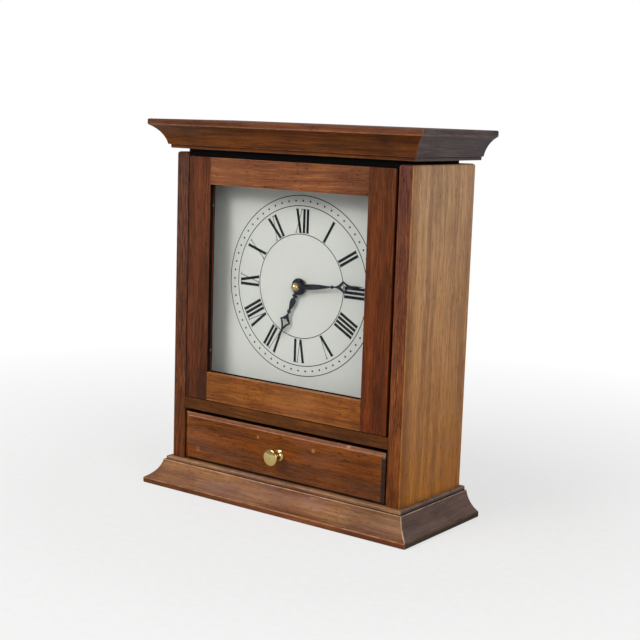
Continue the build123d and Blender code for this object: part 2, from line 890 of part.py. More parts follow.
with BuildPart() as dial_board:
    board_x = inner_x + dial_board_groove - glue_line
    block(-board_x, board_x, dial_board_y, dial_board_back, shelf_top, top_board_bottom)
    hole = bush_radius + dial_hole_play
    rod_along_y(0, dial_centre_z, dial_board_y - overrun, dial_board_back + overrun, hole, Mode.SUBTRACT)
save(dial_board, "dial_board")

with BuildPart() as dial_plate:
    with BuildSketch(along_y(dial_board_y, 0.0, dial_centre_z)) as sheet:
        Rectangle(dial_half_width * 2, dial_top - dial_bottom)
        Circle(bush_radius + dial_hole_play, mode=Mode.SUBTRACT)
    extrude(sheet.sketch, amount=dial_thickness)
save(dial_plate, "dial_plate")

# Movement housing: front shell with the battery bay, and a cover over the wheels

inner_half = battery_length / 2 + contact_room
half_width = inner_half + movement_wall
cover_y = movement_back - movement_wall
room_y = movement_y + movement_wall
room_end = movement_back + overrun
bay_y = movement_y + battery_wall
socket_end = room_y - pivot_socket
pin_bore = pivot_pin_radius + running_gap
setting_bore = setting_shaft_radius + running_gap
bush_front = dial_y - bush_reach
washer_front = dial_y - dial_washer_thickness

motion_distance = motion_module * (cannon_teeth + minute_wheel_teeth) / 2
train_distance = train_module * (centre_teeth + third_pinion_teeth) / 2
setting_distance = motion_module * (minute_wheel_teeth + setting_teeth) / 2
centre_wheel_tip = train_module * (centre_teeth / 2 + addendum_share)
third_wheel_tip = third_module * (third_teeth / 2 + addendum_share)


def polar(distance, direction):
    """Place at a distance and direction from the hand shaft, seen from the front."""
    turn = radians(direction)
    return distance * cos(turn), dial_centre_z + distance * sin(turn)


minute_wheel_x, minute_wheel_z = polar(motion_distance, minute_wheel_direction)
third_x, third_z = polar(train_distance, third_wheel_direction)
setting_x, setting_z = polar(motion_distance + setting_distance, minute_wheel_direction)
post_end = movement_y + minute_layer + minute_layer_thickness + pinion_margin

wheel_room_z = dial_centre_z - centre_wheel_tip - wheel_gap
bay_top = wheel_room_z - movement_wall
battery_z = bay_top - battery_radius - battery_play / 2
shell_z0 = bay_top - battery_radius * 2 - battery_play - movement_wall
coil_z = third_z + third_wheel_tip + coil_gap + coil_flange_radius
shell_z1 = coil_z + coil_flange_radius + coil_inset + movement_wall

with BuildPart() as movement_case:
    block(-half_width, half_width, movement_y, movement_back, shell_z0, shell_z1)
    block(-inner_half, inner_half, room_y, room_end, wheel_room_z, shell_z1 - movement_wall, Mode.SUBTRACT)
    block(-inner_half, inner_half, bay_y, room_end, shell_z0 + movement_wall, bay_top, Mode.SUBTRACT)
    block(
        -half_width - overrun, half_width + overrun, cover_y, room_end, bay_top, shell_z1 + overrun, Mode.SUBTRACT
    )
    rod_along_y(
        0, dial_centre_z, movement_y - overrun, room_y + overrun, bush_radius + running_gap, Mode.SUBTRACT
    )
    rod_along_y(minute_wheel_x, minute_wheel_z, room_y, post_end, post_radius)
    rod_along_y(third_x, third_z, socket_end, room_y + overrun, pin_bore, Mode.SUBTRACT)
    rod_along_y(setting_x, setting_z, socket_end, room_y + overrun, setting_bore, Mode.SUBTRACT)
save(movement_case, "movement_case")

with BuildPart() as movement_cover:
    block(-half_width, half_width, cover_y, movement_back, bay_top, shell_z1)
    for x, z in ((0, dial_centre_z), (third_x, third_z)):
        rod_along_y(x, z, cover_y - overrun, cover_y + pivot_socket, pin_bore, Mode.SUBTRACT)
    rod_along_y(
        setting_x, setting_z, cover_y - overrun, movement_back + overrun, setting_bore, Mode.SUBTRACT
    )
save(movement_cover, "movement_cover")

# Bush, gasket, washer and nut that hold the movement to the dial board

with BuildPart() as fixing_bush:
    rod_along_y(0, dial_centre_z, bush_front, movement_y + movement_wall, bush_radius)
    rod_along_y(0, dial_centre_z, dial_board_back, movement_y, bush_flange_radius)
    rod_along_y(
        0, dial_centre_z, bush_front - overrun, movement_y + movement_wall + overrun, bush_bore, Mode.SUBTRACT
    )
save(fixing_bush, "fixing_bush")

with BuildPart() as gasket:
    rod_along_y(0, dial_centre_z, dial_board_back, movement_y, gasket_radius)
    gasket_bore = bush_flange_radius + glue_line
    rod_along_y(
        0, dial_centre_z, dial_board_back - overrun, movement_y + overrun, gasket_bore, Mode.SUBTRACT
    )
save(gasket, "rubber_gasket")

with BuildPart() as dial_washer:
    rod_along_y(0, dial_centre_z, washer_front, dial_y, dial_washer_radius)
    rod_along_y(
        0, dial_centre_z, washer_front - overrun, dial_y + overrun, bush_radius + running_gap, Mode.SUBTRACT
    )
save(dial_washer, "dial_washer")

with BuildPart() as fixing_nut:
    with BuildSketch(along_y(washer_front, 0.0, dial_centre_z)) as hexagon:
        RegularPolygon(nut_across_flats / 2, 6, major_radius=False)
        Circle(bush_radius + running_gap, mode=Mode.SUBTRACT)
    extrude(hexagon.sketch, amount=nut_thickness)
save(fixing_nut, "fixing_nut")

# Gears


def gear_outline(teeth, module, first_tooth):
    """Points of a toothed rim with one tooth centred on the direction first_tooth, in degrees."""
    pitch_radius = module * teeth / 2
    tip = pitch_radius + module * addendum_share
    root = pitch_radius - module * dedendum_share
    step = 2 * pi / teeth
    outline = []
    for tooth in range(teeth):
        centre = radians(first_tooth) + tooth * step
        for radius, share in (
            (root, -tooth_root_share),
            (tip, -tooth_tip_share),
            (tip, tooth_tip_share),
            (root, tooth_root_share),
        ):
            turn = centre + share * step
            outline.append((radius * cos(turn), radius * sin(turn)))
    return outline


def gear(x, z, layer, thickness, teeth, module, first_tooth):
    """Toothed wheel whose front face lies a layer back from the front of the movement."""
    with BuildSketch(along_y(movement_y + layer + thickness, x, z)) as wheel:
        with BuildLine():
            Polyline(*gear_outline(teeth, module, first_tooth), close=True)
        make_face()
    extrude(wheel.sketch, amount=thickness)


def meshed(driver_teeth, driver_tooth, teeth, direction):
    """First tooth of a wheel that lies in a direction from its driver and meshes with it."""
    facing = direction + half_circle
    return facing - (driver_tooth - direction) * driver_teeth / teeth + half_circle / teeth


centre_tooth = 0.0
minute_wheel_tooth = meshed(cannon_teeth, centre_tooth, minute_wheel_teeth, minute_wheel_direction)
minute_pinion_tooth = 0.0
hour_tooth = meshed(minute_pinion_teeth, minute_pinion_tooth, hour_teeth, minute_wheel_direction + half_circle)
third_pinion_tooth = meshed(centre_teeth, centre_tooth, third_pinion_teeth, third_wheel_direction)
third_tooth = 0.0
setting_tooth = meshed(minute_wheel_teeth, minute_wheel_tooth, setting_teeth, minute_wheel_direction)

hour_hand_front = dial_y - hour_hand_height - hand_thickness
minute_hand_front = dial_y - minute_hand_height - hand_thickness
arbor_front = minute_hand_front - cap_bore_depth + glue_line
cannon_layer = minute_layer - pinion_margin
cannon_thickness = minute_layer_thickness + pinion_margin * 2

with BuildPart() as centre_arbor:
    gear(0, dial_centre_z, centre_layer, centre_layer_thickness, centre_teeth, train_module, centre_tooth)
    gear(0, dial_centre_z, cannon_layer, cannon_thickness, cannon_teeth, motion_module, centre_tooth)
    arbor_back = movement_y + centre_layer + centre_layer_thickness + pinion_margin
    rod_along_y(0, dial_centre_z, arbor_front, arbor_back, arbor_radius)
    rod_along_y(0, dial_centre_z, arbor_back, cover_y + pivot_socket - running_gap, pivot_pin_radius)
save(centre_arbor, "centre_arbor")

with BuildPart() as hour_wheel:
    gear(0, dial_centre_z, hour_layer, hour_layer_thickness, hour_teeth, motion_module, hour_tooth)
    tube_front = hour_hand_front - glue_line
    tube_back = movement_y + hour_layer + hour_layer_thickness
    rod_along_y(0, dial_centre_z, tube_front, tube_back, hour_tube_radius)
    rod_along_y(0, dial_centre_z, tube_front - overrun, tube_back + overrun, hour_tube_bore, Mode.SUBTRACT)
save(hour_wheel, "hour_wheel")

with BuildPart() as minute_wheel:
    gear(
        minute_wheel_x,
        minute_wheel_z,
        minute_layer,
        minute_layer_thickness,
        minute_wheel_teeth,
        motion_module,
        minute_wheel_tooth,
    )
    pinion_layer = hour_layer - pinion_margin
    gear(
        minute_wheel_x,
        minute_wheel_z,
        pinion_layer,
        minute_layer - pinion_layer,
        minute_pinion_teeth,
        motion_module,
        minute_pinion_tooth,
    )
    post_bore = post_radius + running_gap
    rod_along_y(minute_wheel_x, minute_wheel_z, room_y, post_end + overrun, post_bore, Mode.SUBTRACT)
save(minute_wheel, "minute_wheel")

with BuildPart() as third_wheel:
    gear(third_x, third_z, third_layer, third_layer_thickness, third_teeth, third_module, third_tooth)
    pinion_layer = centre_layer - pinion_margin
    gear(
        third_x,
        third_z,
        pinion_layer,
        third_layer - pinion_layer,
        third_pinion_teeth,
        train_module,
        third_pinion_tooth,
    )
    third_front = socket_end + running_gap
    third_back = cover_y + pivot_socket - running_gap
    rod_along_y(third_x, third_z, third_front, third_back, pivot_pin_radius)
save(third_wheel, "third_wheel")

with BuildPart() as setting_knob:
    gear(setting_x, setting_z, cannon_layer, cannon_thickness, setting_teeth, motion_module, setting_tooth)
    knob_back = movement_back + running_gap + setting_knob_length
    rod_along_y(setting_x, setting_z, socket_end + running_gap, knob_back, setting_shaft_radius)
    with BuildSketch(along_y(knob_back, setting_x, setting_z)) as grip:
        Circle(setting_knob_radius)
        with PolarLocations(setting_knob_radius, setting_knob_flutes):
            Circle(setting_flute_radius, mode=Mode.SUBTRACT)
    extrude(grip.sketch, amount=setting_knob_length)
save(setting_knob, "setting_knob")

# Hands


def pierced_hand(plane, boss_radius, bore, half_outline, ball, opening):
    """Flat hand cut from sheet: a boss, a leaf, a ball and an open diamond with a point."""
    with BuildPart() as hand:
        with BuildSketch(plane) as blade:
            with BuildLine():
                right_half = Polyline(*half_outline)
                mirror(right_half, about=Plane.YZ)
            make_face()
            Circle(boss_radius)
            with Locations((0, ball[0])):
                Circle(ball[1])
            with BuildSketch(mode=Mode.PRIVATE) as window:
                with BuildLine():
                    window_half = Polyline(*opening)
                    mirror(window_half, about=Plane.YZ)
                make_face()
            add(window.sketch, mode=Mode.SUBTRACT)
            Circle(bore, mode=Mode.SUBTRACT)
        extrude(blade.sketch, amount=hand_thickness)
    return hand


def leaf(start, end, wide, narrow, steps):
    """Points down one side of a leaf that swells quickly and tapers slowly."""
    points = []
    for step in range(steps + 1):
        share = step / steps
        swell = sin(pi * share ** leaf_swell_share)
        points.append((narrow + (wide - narrow) * swell, start + (end - start) * share))
    return points


def bowed(start, end):
    """Points on a diamond's side, which bows in towards the middle of the hand."""
    points = []
    for step in range(1, bow_steps):
        share = step / bow_steps
        inwards = diamond_bow * sin(pi * share)
        points.append((start[0] + (end[0] - start[0]) * share - inwards, start[1] + (end[1] - start[1]) * share))
    return points


def diamond(*corners):
    """Corners of half a diamond with the points of its bowed sides between them."""
    points = [corners[0]]
    for start, end in zip(corners, corners[1:]):
        points += bowed(start, end) + [end]
    return points


def hour_at(share):
    """Distance along the hour hand."""
    return hour_hand_length * share


hour_half_outline = (
    [
        (0, 0),
        (hour_stem_half, 0),
        (hour_stem_half, hour_at(hour_collar_start_share)),
        (hour_collar_half, hour_at(hour_collar_start_share)),
        (hour_collar_half, hour_at(hour_collar_end_share)),
    ]
    + leaf(
        hour_at(hour_leaf_start_share), hour_at(hour_leaf_end_share), hour_leaf_half, hand_neck_half, leaf_steps
    )
    + diamond(
        (hand_neck_half, hour_at(hour_diamond_start_share)),
        (hour_diamond_half, hour_at(hour_diamond_wide_share)),
        (hour_point_half, hour_at(hour_diamond_end_share)),
    )
    + [(hand_tip_half, hour_hand_length), (0, hour_hand_length)]
)
hour_opening = diamond(
    (0, hour_at(hour_window_start_share)),
    (hour_window_half, hour_at(hour_diamond_wide_share)),
    (0, hour_at(hour_window_end_share)),
)
hour_hand = pierced_hand(
    hand_plane(dial_y - hour_hand_height, hour_hand_bearing),
    hour_boss_radius,
    hour_tube_radius + running_gap,
    hour_half_outline,
    (hour_at(hour_ball_share), hour_ball_radius),
    hour_opening,
)
save(hour_hand, "hour_hand")


def minute_at(share):
    """Distance along the minute hand."""
    return minute_hand_length * share


minute_half_outline = (
    [(0, 0), (hand_neck_half, 0)]
    + leaf(
        minute_at(minute_leaf_start_share),
        minute_at(minute_leaf_end_share),
        minute_leaf_half,
        hand_neck_half,
        leaf_steps,
    )
    + diamond(
        (hand_neck_half, minute_at(minute_diamond_start_share)),
        (minute_diamond_half, minute_at(minute_diamond_wide_share)),
        (minute_point_half, minute_at(minute_diamond_end_share)),
    )
    + [(hand_tip_half, minute_hand_length), (0, minute_hand_length)]
)
minute_opening = diamond(
    (0, minute_at(minute_window_start_share)),
    (minute_window_half, minute_at(minute_diamond_wide_share)),
    (0, minute_at(minute_window_end_share)),
)
minute_hand = pierced_hand(
    hand_plane(dial_y - minute_hand_height, minute_hand_bearing),
    minute_boss_radius,
    arbor_radius + running_gap,
    minute_half_outline,
    (minute_at(minute_ball_share), minute_ball_radius),
    minute_opening,
)
save(minute_hand, "minute_hand")

with BuildPart() as cap_nut:
    cap_front = minute_hand_front - cap_height
    rim_y = minute_hand_front - cap_rim
    with BuildSketch(Plane.XY.offset(dial_centre_z)) as profile:
        with BuildLine():
            Line((0, minute_hand_front), (cap_radius, minute_hand_front))
            Line((cap_radius, minute_hand_front), (cap_radius, rim_y))
            ThreePointArc((cap_radius, rim_y), dome_middle(cap_radius, rim_y, cap_front), (0, cap_front))
            Line((0, cap_front), (0, minute_hand_front))
        make_face()
    revolve(profile.sketch, axis=Axis((0, 0, dial_centre_z), (0, 1, 0)))
    bore_y = minute_hand_front - cap_bore_depth
    rod_along_y(
        0, dial_centre_z, bore_y, minute_hand_front + overrun, arbor_radius + running_gap, Mode.SUBTRACT
    )
save(cap_nut, "cap_nut")

# Battery and its contacts

battery_y = bay_y + glue_line + battery_radius
battery_start = -battery_length / 2

with BuildPart() as battery:
    with BuildSketch(Plane.YZ.offset(battery_start)) as can:
        with Locations((battery_y, battery_z)):
            Circle(battery_radius)
    extrude(can.sketch, amount=battery_length - battery_nub_length)
    with BuildSketch(Plane.YZ.offset(-battery_start - battery_nub_length)) as nub:
        with Locations((battery_y, battery_z)):
            Circle(battery_nub_radius)
    extrude(nub.sketch, amount=battery_nub_length)
save(battery, "battery")

with BuildPart() as battery_contacts:
    contact_y0 = battery_y - contact_width / 2
    contact_y1 = battery_y + contact_width / 2
    contact_z0 = battery_z - contact_width / 2
    contact_z1 = battery_z + contact_width / 2
    plate_x = inner_half - contact_thickness
    touch_x = battery_length / 2
    leaf_end = contact_leaf_height / 2
    leaf_root = leaf_end - contact_leaf_thickness * 2
    leaf_inside = touch_x + contact_leaf_thickness
    block(plate_x, inner_half, contact_y0, contact_y1, contact_z0, contact_z1)
    with BuildSketch(Plane.XZ.offset(-contact_y0)) as bow:
        with BuildLine():
            ThreePointArc((plate_x, battery_z - leaf_end), (touch_x, battery_z), (plate_x, battery_z + leaf_end))
            Line((plate_x, battery_z + leaf_end), (plate_x, battery_z + leaf_root))
            ThreePointArc((plate_x, battery_z + leaf_root), (leaf_inside, battery_z), (plate_x, battery_z - leaf_root))
            Line((plate_x, battery_z - leaf_root), (plate_x, battery_z - leaf_end))
        make_face()
    extrude(bow.sketch, amount=contact_y0 - contact_y1)
    mirror(about=Plane.YZ)
save(battery_contacts, "battery_contacts")

# Motor and circuit

coil_y = movement_y + stator_layer + stator_thickness / 2
drive_x0 = third_x + third_wheel_tip + drive_unit_gap
drive_x1 = inner_half - drive_unit_gap
drive_z0 = third_z - drive_unit_height / 2
drive_z1 = third_z + drive_unit_height / 2
coil_start = drive_x1 - stator_width - coil_inset - coil_flange - coil_length
stator_front = movement_y + stator_layer
stator_back = stator_front + stator_thickness

with BuildPart() as motor_coil:
    for start, length, radius in (
        (coil_start, coil_length, coil_radius),
        (coil_start - coil_flange, coil_flange, coil_flange_radius),
        (coil_start + coil_length, coil_flange, coil_flange_radius),
    ):
        with BuildSketch(Plane.YZ.offset(start)) as turn:
            with Locations((coil_y, coil_z)):
                Circle(radius)
        extrude(turn.sketch, amount=length)
    core_half = stator_width / 2 + glue_line
    core_x0 = coil_start - coil_flange - overrun
    core_x1 = coil_start + coil_length + coil_flange + overrun
    core_y0 = stator_front - glue_line
    core_y1 = stator_back + glue_line
    block(core_x0, core_x1, core_y0, core_y1, coil_z - core_half, coil_z + core_half, Mode.SUBTRACT)
save(motor_coil, "motor_coil")

with BuildPart() as motor_stator:
    leg = stator_width / 2
    block(
        coil_start - coil_flange - stator_width, drive_x1, stator_front, stator_back, coil_z - leg, coil_z + leg
    )
    block(drive_x1 - stator_width, drive_x1, stator_front, stator_back, drive_z1, coil_z)
save(motor_stator, "motor_stator")

with BuildPart() as drive_unit:
    block(drive_x0, drive_x1, room_y, room_y + drive_unit_depth, drive_z0, drive_z1)
save(drive_unit, "drive_unit")

circuit_x0 = circuit_inset - inner_half
circuit_x1 = circuit_x0 + circuit_width
circuit_z1 = shell_z1 - movement_wall - circuit_inset
circuit_z0 = circuit_z1 - circuit_height
board_y0 = cover_y - circuit_thickness

with BuildPart() as circuit_board:
    block(circuit_x0, circuit_x1, board_y0, cover_y, circuit_z0, circuit_z1)
save(circuit_board, "circuit_board")

with BuildPart() as quartz_crystal:
    crystal_x = (circuit_x0 + circuit_x1 - crystal_length) / 2
    with BuildSketch(Plane.YZ.offset(crystal_x)) as can:
        with Locations((board_y0 - crystal_radius, (circuit_z0 + circuit_z1) / 2)):
            Circle(crystal_radius)
    extrude(can.sketch, amount=crystal_length)
save(quartz_crystal, "quartz_crystal")
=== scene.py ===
from math import cos, pi, radians, sin

import bmesh
import bpy
from mathutils import Matrix, Vector


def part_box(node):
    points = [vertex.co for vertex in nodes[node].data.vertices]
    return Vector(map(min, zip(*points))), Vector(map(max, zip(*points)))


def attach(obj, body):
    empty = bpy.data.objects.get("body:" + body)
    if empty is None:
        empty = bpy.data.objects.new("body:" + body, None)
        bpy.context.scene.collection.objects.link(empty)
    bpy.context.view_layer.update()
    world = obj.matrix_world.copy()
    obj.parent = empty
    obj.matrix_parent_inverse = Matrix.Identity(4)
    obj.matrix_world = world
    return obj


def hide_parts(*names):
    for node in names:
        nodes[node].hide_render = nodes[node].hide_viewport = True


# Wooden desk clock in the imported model's frame, in metres: eased boards, printed dial and finishes.

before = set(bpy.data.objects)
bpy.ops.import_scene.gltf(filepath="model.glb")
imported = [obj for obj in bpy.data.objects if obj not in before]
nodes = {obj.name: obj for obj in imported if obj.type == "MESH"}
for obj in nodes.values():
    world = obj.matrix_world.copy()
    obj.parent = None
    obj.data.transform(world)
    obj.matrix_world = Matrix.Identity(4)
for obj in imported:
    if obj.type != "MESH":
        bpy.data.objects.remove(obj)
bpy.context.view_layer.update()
mm = 0.001

# Places of the case, the door and the dial, taken from the frame

side_low, side_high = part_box("right_side")
inner_x = side_low.x
outer_x = side_high.x
base_top = side_low.z
front_y = side_low.y
door_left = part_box("left_stile")[0].x
door_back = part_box("left_stile")[1].y
opening_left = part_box("left_stile")[1].x
opening_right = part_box("right_stile")[0].x
opening_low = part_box("bottom_rail")[1].z
opening_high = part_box("top_rail")[0].z
dial_low, dial_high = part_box("dial_plate")


# Node helpers


def put(tree, kind, inputs=None, **settings):
    """New node in a tree, with its settings and inputs. An input is a socket to link or a plain value."""
    made = tree.nodes.new(kind)
    for name, value in settings.items():
        setattr(made, name, value)
    for name, value in (inputs or {}).items():
        socket = made.inputs[name]
        if isinstance(value, bpy.types.NodeSocket):
            tree.links.new(value, socket)
        else:
            socket.default_value = value
    return made


def colour(red, green, blue):
    """Screen colour from 0 to 255 as the linear colour that a shader takes."""
    parts = []
    for value in (red, green, blue):
        share = value / 255
        parts.append(share / 12.92 if share <= 0.04045 else ((share + 0.055) / 1.055) ** 2.4)
    return (*parts, 1.0)


def blend_colours(tree, factor, first, second, kind="MIX"):
    """Colour between two others, or one laid over the other in a mixing mode."""
    inputs = {0: factor, 6: first, 7: second}
    return put(tree, "ShaderNodeMix", inputs, data_type="RGBA", blend_type=kind).outputs[2]


def span(tree, value, low, high, to_low=0.0, to_high=1.0):
    """Value carried from one range to another and held inside it."""
    inputs = {"Value": value, "From Min": low, "From Max": high, "To Min": to_low, "To Max": to_high}
    return put(tree, "ShaderNodeMapRange", inputs, clamp=True).outputs["Result"]


def noise(tree, vector, scale, detail=3.0, rough=0.5, distortion=0.0):
    """Noise value between about 0.3 and 0.7."""
    shape = {"Scale": scale, "Detail": detail, "Roughness": rough, "Distortion": distortion}
    return put(tree, "ShaderNodeTexNoise", {"Vector": vector, **shape}).outputs["Fac"]


def vector_step(tree, operation, first, second):
    """Result of one step of vector arithmetic."""
    return put(tree, "ShaderNodeVectorMath", {0: first, 1: second}, operation=operation).outputs["Vector"]


def number_step(tree, operation, first, second=0.0):
    """Result of one step of arithmetic."""
    return put(tree, "ShaderNodeMath", {0: first, 1: second}, operation=operation).outputs["Value"]


def new_group(name, inputs, outputs):
    """Empty shader node group with named sockets, as (group, its input node, its output node)."""
    group = bpy.data.node_groups.new(name, "ShaderNodeTree")
    for socket, kind, value in inputs:
        made = group.interface.new_socket(name=socket, in_out="INPUT", socket_type=kind)
        made.default_value = value
    for socket, kind in outputs:
        group.interface.new_socket(name=socket, in_out="OUTPUT", socket_type=kind)
    return group, group.nodes.new("NodeGroupInput"), group.nodes.new("NodeGroupOutput")


# Effects that several finishes share


def make_grain():
    """Wood grain: broad figure, streaks, hairlines and short dark flecks that run along one axis."""
    group, given, result = new_group(
        "wood_grain",
        [
            ("Long", "NodeSocketVector", (1.0, 1.0, 0.04)),
            ("Short", "NodeSocketVector", (1.0, 1.0, 0.16)),
            ("Shift", "NodeSocketVector", (0.0, 0.0, 0.0)),
            ("Dark", "NodeSocketColor", (0.1, 0.05, 0.03, 1.0)),
            ("Middle", "NodeSocketColor", (0.2, 0.1, 0.05, 1.0)),
            ("Light", "NodeSocketColor", (0.4, 0.2, 0.1, 1.0)),
            ("Low Tint", "NodeSocketColor", (1.0, 1.0, 1.0, 1.0)),
            ("Figure Scale", "NodeSocketFloat", 70.0),
            ("Figure", "NodeSocketFloat", 1.0),
            ("Lines", "NodeSocketFloat", 0.5),
            ("Flecks", "NodeSocketFloat", 0.5),
            ("Bloom", "NodeSocketFloat", 0.0),
        ],
        [("Color", "NodeSocketColor"), ("Roughness", "NodeSocketFloat"), ("Height", "NodeSocketFloat")],
    )

    # Places, bent a little and then stretched along the grain
    place = put(group, "ShaderNodeTexCoord").outputs["Object"]
    moved = vector_step(group, "ADD", place, given.outputs["Shift"])
    wander = put(group, "ShaderNodeTexNoise", {"Vector": moved, "Scale": 8.0, "Detail": 2.0})
    centred = vector_step(group, "SUBTRACT", wander.outputs["Color"], (0.5, 0.5, 0.5))
    bent = vector_step(group, "ADD", moved, vector_step(group, "MULTIPLY", centred, (0.01, 0.01, 0.01)))
    along = vector_step(group, "MULTIPLY", bent, given.outputs["Long"])
    short = vector_step(group, "MULTIPLY", bent, given.outputs["Short"])

    # Noise from broad figure down to hairlines and flecks
    broad = noise(group, along, given.outputs["Figure Scale"], 3.0, 0.55, 0.4)
    fine_scale = number_step(group, "MULTIPLY", given.outputs["Figure Scale"], 6.0)
    fine = noise(group, along, fine_scale, 5.0, 0.7)
    hair = noise(group, along, 1500.0, 2.0, 0.6)
    speck = noise(group, short, 1050.0, 2.0, 0.6)
    patch = noise(group, moved, 22.0, 3.0, 0.6)

    # Tones laid over each other in the same order
    band = span(group, broad, 0.38, 0.62)
    figured = blend_colours(group, band, given.outputs["Dark"], given.outputs["Middle"])
    glow = number_step(group, "MULTIPLY", span(group, fine, 0.42, 0.66), span(group, patch, 0.36, 0.64))
    glow = number_step(group, "MULTIPLY", glow, given.outputs["Figure"])
    lit = blend_colours(group, glow, figured, given.outputs["Light"])
    line = number_step(group, "MULTIPLY", span(group, hair, 0.56, 0.42), given.outputs["Lines"])
    lined = blend_colours(group, line, lit, (0.42, 0.34, 0.30, 1.0), "MULTIPLY")
    dull = number_step(group, "MULTIPLY", span(group, fine, 0.46, 0.30), 0.6)
    toned = blend_colours(group, dull, lined, given.outputs["Dark"])
    fleck = number_step(group, "MULTIPLY", span(group, speck, 0.61, 0.69), given.outputs["Flecks"])
    flecked = blend_colours(group, fleck, toned, (0.25, 0.18, 0.16, 1.0), "MULTIPLY")

    # Tint that grows towards the foot of the clock, and a pale haze over all
    height = put(group, "ShaderNodeSeparateXYZ", {"Vector": place}).outputs["Z"]
    low_share = span(group, height, 0.27, 0.04)
    fallen = blend_colours(group, low_share, flecked, given.outputs["Low Tint"], "MULTIPLY")
    haze = noise(group, vector_step(group, "MULTIPLY", moved, (1.0, 1.0, 2.5)), 16.0, 4.0, 0.65)
    cloud = number_step(group, "MULTIPLY", span(group, haze, 0.46, 0.66), given.outputs["Bloom"])
    clouded = blend_colours(group, cloud, fallen, (0.27, 0.15, 0.125, 1.0))
    group.links.new(clouded, result.inputs["Color"])
    group.links.new(span(group, fine, 0.3, 0.7, 0.46, 0.34), result.inputs["Roughness"])
    relief = number_step(group, "SUBTRACT", span(group, hair, 0.3, 0.7, 0.0, 0.4), fleck)
    group.links.new(relief, result.inputs["Height"])
    return group


def make_wear_and_highlight():
    """Lighter colour along the eased arrises, broken up by noise: partly rubbing, partly a painted
    highlight. Near-black painted shade in the quirks of the mouldings.
    """
    group, given, result = new_group(
        "arris_wear_and_highlight",
        [
            ("Color", "NodeSocketColor", (0.2, 0.1, 0.05, 1.0)),
            ("Rubbed And Lit", "NodeSocketColor", (0.6, 0.4, 0.2, 1.0)),
            ("Amount", "NodeSocketFloat", 0.6),
        ],
        [("Color", "NodeSocketColor")],
    )
    place = put(group, "ShaderNodeTexCoord").outputs["Object"]
    arris = put(group, "ShaderNodeAttribute", attribute_name="arris").outputs["Fac"]
    broken = span(group, noise(group, place, 90.0, 4.0, 0.65), 0.38, 0.60, 0.35, 1.0)
    share = number_step(group, "MULTIPLY", arris, broken)
    share = number_step(group, "MULTIPLY", share, given.outputs["Amount"])
    rubbed_and_lit = blend_colours(group, share, given.outputs["Color"], given.outputs["Rubbed And Lit"])
    # Painted shade: near-black in the quirks of the mouldings
    groove_shade = put(group, "ShaderNodeAttribute", attribute_name="groove_shade").outputs["Fac"]
    quirk_shade = number_step(group, "MULTIPLY", groove_shade, 0.85)
    group.links.new(blend_colours(group, quirk_shade, rubbed_and_lit, (0.006, 0.004, 0.003, 1.0)), result.inputs["Color"])
    return group


def make_speckle():
    """Fine dust and tone variation for plain surfaces, with a matching height."""
    group, given, result = new_group(
        "fine_speckle",
        [
            ("Color", "NodeSocketColor", (0.5, 0.5, 0.5, 1.0)),
            ("Toned", "NodeSocketColor", (0.4, 0.4, 0.4, 1.0)),
            ("Scale", "NodeSocketFloat", 400.0),
            ("Amount", "NodeSocketFloat", 0.3),
        ],
        [("Color", "NodeSocketColor"), ("Mask", "NodeSocketFloat"), ("Height", "NodeSocketFloat")],
    )
    place = put(group, "ShaderNodeTexCoord").outputs["Object"]
    broad = span(group, noise(group, place, 18.0, 3.0, 0.6), 0.35, 0.65)
    fine = noise(group, place, given.outputs["Scale"], 3.0, 0.6)
    mask = number_step(group, "MULTIPLY", span(group, fine, 0.4, 0.65), broad)
    mask = number_step(group, "MULTIPLY", mask, given.outputs["Amount"])
    toned = blend_colours(group, mask, given.outputs["Color"], given.outputs["Toned"])
    group.links.new(toned, result.inputs["Color"])
    group.links.new(mask, result.inputs["Mask"])
    group.links.new(fine, result.inputs["Height"])
    return group


grain_group = make_grain()
wear_highlight_group = make_wear_and_highlight()
speckle_group = make_speckle()


def use_group(tree, group, inputs):
    """Copy of a shared effect placed in a material."""
    return put(tree, "ShaderNodeGroup", inputs, node_tree=group)


def start_material(name):
    """New material with its node tree and its Principled shader."""
    material = bpy.data.materials.new(name)
    material.use_nodes = True
    return material, material.node_tree, material.node_tree.nodes["Principled BSDF"]


def bump(tree, height, strength, distance):
    """Normal from a height value."""
    inputs = {"Height": height, "Strength": strength, "Distance": distance}
    return put(tree, "ShaderNodeBump", inputs).outputs["Normal"]


# Finishes

# How much each axis counts in the grain, which is stretched along one of them
runs = {"X": (0.028, 1.0, 1.0), "Y": (1.0, 0.028, 1.0), "Z": (1.0, 1.0, 0.03)}
short_runs = {"X": (0.2, 1.0, 1.0), "Y": (1.0, 0.2, 1.0), "Z": (1.0, 1.0, 0.13)}

stain_tone = (0.008, 0.005, 0.004, 1.0)


def front_spot(across, up, behind=0.0):
    """Place on the front, from lengths in millimetres across, up and back from the door's face."""
    return (across * mm, front_y + behind * mm, up * mm)


def dings(tree, base, tone, spots):
    """Worn or stained spots laid over a colour, each a place, a radius in metres and a strength."""
    place = put(tree, "ShaderNodeTexCoord").outputs["Object"]
    for spot, radius, strength in spots:
        ragged = number_step(tree, "MULTIPLY", noise(tree, place, 420.0, 3.0, 0.7), radius)
        away = put(tree, "ShaderNodeVectorMath", {0: place, 1: spot}, operation="DISTANCE").outputs["Value"]
        reached = number_step(tree, "ADD", away, ragged)
        mask = number_step(tree, "MULTIPLY", span(tree, reached, radius * 1.6, radius * 0.7), strength)
        base = blend_colours(tree, mask, base, tone)
    return base


